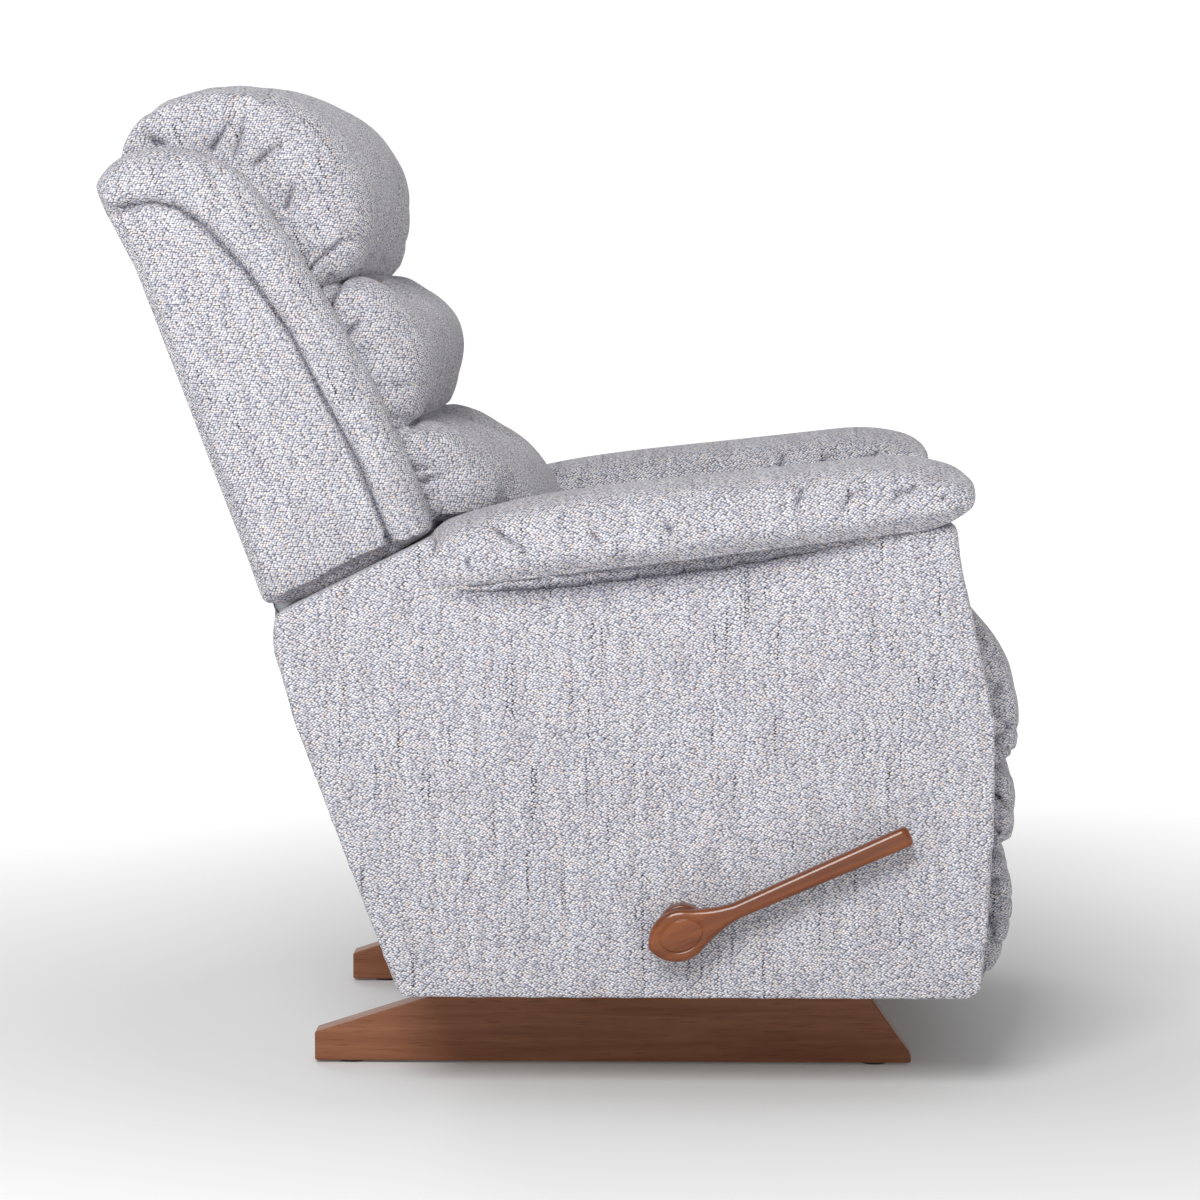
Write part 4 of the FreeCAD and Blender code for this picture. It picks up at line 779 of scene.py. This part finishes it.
stuff(wing_left, voxel=0.005, slack=0.002, pressure=3.5, swell=0.012, held=wing_held, grow=0.01)
finer(wing_left)
# Painted shade darkens the cloth along the seam's groove.
crease(wing_left, wing_seams, shallow=0.0135, deep=0.0195)
points = points_of(wing_left)
n, s = back_axes(points)
corner = ramp(s, 0.37, 0.43) * ramp(n, 0.06, 0)
points[:, 0] -= WING_CORNER_BACK * corner
points[:, 2] += WING_CORNER_UP * corner
points[:, 0] -= WING_SLACK * ramp(s, 0.42, 0) * ramp(n, 0.05, 0)
points[:, 2] -= WING_FOOT_DROP * ramp(s, 0.04, 0)
place_points(wing_left, points)
wing_right = mirrored(wing_left, "tweed_wing_right")
for side, wing in (("left", wing_left), ("right", wing_right)):
    in_tweed(wing, "back", BACK_TILT, "back_wing_" + side)


# Rear panel of the back: tweed over card, tacked to the stiles between the wings.
# Its top edge is drawn up and forward under the head pillow, so that no timber shows.
BACK_PANEL_HALF = 0.325
PANEL_RAISED, PANEL_FORWARD = 0.015, 0.008
back_panel = copy_of("tweed_back_panel", "back_rear_cover")
place_points(back_panel, points_of(back_panel) * (1, BACK_PANEL_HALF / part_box("back_rear_cover")[1].y, 1))
points = points_of(back_panel)
rise = ramp(back_axes(points)[1], 0.44, 0.46)[:, None]
place_points(back_panel, points + rise * (PANEL_RAISED * BACK_UP + PANEL_FORWARD * BACK_FORWARD))
even(back_panel, voxel=0.005, smooth=2)
press(back_panel, crowned(half=0.311))
in_tweed(back_panel, "back", BACK_TILT, "back_rear_cover")


# Apron over the back's hinge: a strip of tweed, tacked to the top of the rear cover and the foot of
# the back panel. It hides the hinge plates.
APRON_HALF = 0.325
APRON_FOOT = (-0.2885, 0.486)
APRON_HEAD = (-0.3135, 0.54)
APRON_BOW = 0.0135


def apron_point(share):
    """Place on the apron's section, which bows out to the rear."""
    bow = APRON_BOW * math.sin(math.pi * share)
    return (APRON_FOOT[0] + (APRON_HEAD[0] - APRON_FOOT[0]) * share - bow,
            APRON_FOOT[1] + (APRON_HEAD[1] - APRON_FOOT[1]) * share - bow * 0.4)


apron, apron_length = strip_of("tweed_hinge_apron", [apron_point(i / 8) for i in range(9)], APRON_HALF)
in_tweed(apron, None, BACK_TILT)
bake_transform(apron)


# Lever: a turned and shaped hardwood handle on a round hub, screwed to the end of the drive rod.
# A bare oval is cut into its head.
LEVER_AXIS = (0.121, 0.184)
LEVER_TURN = math.radians(24)
LEVER_ALONG = np.array((math.cos(LEVER_TURN), 0, math.sin(LEVER_TURN)))
LEVER_ACROSS = np.array((-math.sin(LEVER_TURN), 0, math.cos(LEVER_TURN)))
LEVER_STRAIGHT = 0.2475
LEVER_END = 0.0105
LEVER_DROP = (0.001, 0, 0.003)
HUB_GROWTH = 1.06
OVAL = (0.0235, 0.0165)
OVAL_DEPTH = 0.0014
# Mahogany-stained beech, lacquered: reddish brown, grain along the lever, a clear gloss on top.
mahogany = stained_wood("mahogany_stained_beech_lacquered", ("#321504", "#5e2b0a", "#6e3610", "#7f4318"),
                        LEVER_TURN, roughness=0.4, varnish=0.6)
hub = eased("mahogany_hub", "handle_hub", width=0.002)
place_points(hub, (points_of(hub) - (LEVER_AXIS[0], 0, LEVER_AXIS[1])) * (HUB_GROWTH, 1, HUB_GROWTH)
             + (LEVER_AXIS[0], 0, LEVER_AXIS[1] + 0.001))
dress(hub, "drive", mahogany, "stained_hardwood", "handle_hub")


def lever_axes(points):
    """Distance along the lever from its axis, and across it."""
    from_axis = points - (LEVER_AXIS[0], 0, LEVER_AXIS[1])
    return from_axis @ LEVER_ALONG, from_axis @ LEVER_ACROSS


def oval_groove(points, normals):
    """A fine groove round the bare oval on the head."""
    along, across = lever_axes(points)
    ring = np.hypot(along / OVAL[0], across / OVAL[1])
    return OVAL_DEPTH * near(ring, 1, 0.05) * np.clip(-normals[:, 1], 0, 1)


lever = copy_of("mahogany_lever", "handle", "handle_badge")
even(lever, voxel=0.0009, smooth=3)
press(lever, oval_groove)
points = points_of(lever)
along, across = lever_axes(points)
past = np.clip((along - LEVER_STRAIGHT) / LEVER_END, 0, 0.985)
wider = across * ((1 - past ** 5) ** 0.2 / np.sqrt(1 - past ** 2) - 1)
points += wider[:, None] * LEVER_ACROSS - LEVER_DROP
place_points(lever, points)
dress(lever, "drive", mahogany, "stained_hardwood", "handle", "handle_badge")


# Footrest pad: three padded channels of tweed on a plywood board, gathered at both ends.
# The cloth is drawn round the edges of the board and stapled behind it.
foot = copy_of("tweed_footrest_pad", "footrest_pad")
foot_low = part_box("footrest_pad")[0]
CREASES = (0.234, 0.330)
CREASE_DEPTH = 0.009
FOOT_FAN_DEPTH, FOOT_TUCK_DEPTH = 0.006, 0.008
FOOT_TUCKS = ((455, 357, 482, 377), (458, 410, 470, 428), (460, 262, 484, 233), (454, 164, 468, 129),
              (456, 205, 478, 212), (458, 298, 482, 286))      # in mm, along the chair and up


def foot_held(points):
    """The pad is stapled behind its board and sewn down in the two creases."""
    behind = ramp(points[:, 0], foot_low.x + 0.016, foot_low.x + 0.006)
    sewn = sum(near(points[:, 2], z, 0.006) for z in CREASES)
    return np.clip(behind + sewn, 0, 1)


def foot_gathers(points, normals):
    """The creases, and short tucks round the ends of the channels."""
    z = points[:, 2]
    sewn = sum(near(z, height, 0.007) for height in CREASES)
    end = ramp(np.abs(points[:, 1]), 0.2, 0.25)
    fold = 1 - np.abs(np.sin(z * 80 + points[:, 0] * 60 + 1.3 * np.sin(z * 37)))
    sharp = tucks(points[:, 0], z, FOOT_TUCKS, width=0.004)
    channels = CREASE_DEPTH * sewn * np.clip(normals[:, 0] + 0.8, 0, 1)
    return channels + (FOOT_FAN_DEPTH * fold ** 3 + FOOT_TUCK_DEPTH * sharp) * end


points = points_of(foot)
points[points[:, 0] < foot_low.x + 0.001, 0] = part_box("footrest_board")[0].x - 0.0015
place_points(foot, points)
stuff(foot, voxel=0.0058, slack=0.004, pressure=4.0, swell=0.014, held=foot_held, grow=0.02)
finer(foot)
# Painted shade darkens the cloth in the creases and the tucks at the ends.
crease(foot, foot_gathers, shallow=0.004, deep=0.012)
in_tweed(foot, "footrest", 0.0, "footrest_pad")


# Studio: a pale floor that glows towards the walls, a bright horizon under a dimmer dome,
# a wide soft light beside the camera and a weaker one behind the chair.
FLOOR_RADIUS = 60
LIGHTS_AIM = Vector((0, 0, 0.5))
LIGHTS = (("key", (-0.7, -3.6, 2.8), 1.6, 125), ("fill", (-1.4, 3.4, 2.4), 2.0, 45))
shape = bmesh.new()
bmesh.ops.create_circle(shape, cap_ends=True, segments=64, radius=FLOOR_RADIUS)
floor = piece_of("studio_floor", shape)
paint, tree, shader, coords = finish_named("studio_floor_matt_glowing", Roughness=1.0)
shader.inputs["Specular IOR Level"].default_value = 0.0
shader.inputs["Base Color"].default_value = linear("#dcdcdc")
shader.inputs["Emission Color"].default_value = linear("#ffffff")
# Painted light: the floor gives off its own glow, faint beside the chair and strong further out.
reach = add(tree, "ShaderNodeVectorMath", {0: coords}, operation="LENGTH")
glow = add(tree, "ShaderNodeMapRange", {"Value": reach.outputs["Value"], "From Min": 0.5, "From Max": 3.0,
                                        "To Min": 0.06, "To Max": 0.8})
tree.links.new(glow.outputs["Result"], shader.inputs["Emission Strength"])
floor.data.materials.append(paint)
world = bpy.data.worlds.new("studio_dome")
bpy.context.scene.world = world
world.use_nodes = True
sky = world.node_tree
way = add(sky, "ShaderNodeSeparateXYZ", {"Vector": add(sky, "ShaderNodeTexCoord").outputs["Generated"]})
dimming = add(sky, "ShaderNodeMapRange", {"Value": way.outputs["Z"], "From Min": 0.08, "From Max": 0.25,
                                          "To Min": 1.05, "To Max": 0.42})
sky.links.new(dimming.outputs["Result"], sky.nodes["Background"].inputs["Strength"])
sky.nodes["Background"].inputs["Color"].default_value = linear("#ffffff")
for name, place, size, power in LIGHTS:
    lamp = bpy.data.lights.new(name, "AREA")
    lamp.size = size
    lamp.energy = power
    light = bpy.data.objects.new(name, lamp)
    bpy.context.collection.objects.link(light)
    light.location = place
    light.rotation_euler = (LIGHTS_AIM - Vector(place)).to_track_quat("-Z", "Y").to_euler()
lens = bpy.data.cameras.new("camera")
lens.lens = 111
lens.sensor_width = 36
camera = bpy.data.objects.new("camera", lens)
bpy.context.collection.objects.link(camera)
camera.location = (0.1215, -4.2449, 0.8607)
camera.rotation_euler = (math.radians(90 - 5.02), 0, math.radians(1.30))
bpy.context.scene.camera = camera
bpy.context.scene.view_settings.view_transform = "Standard"
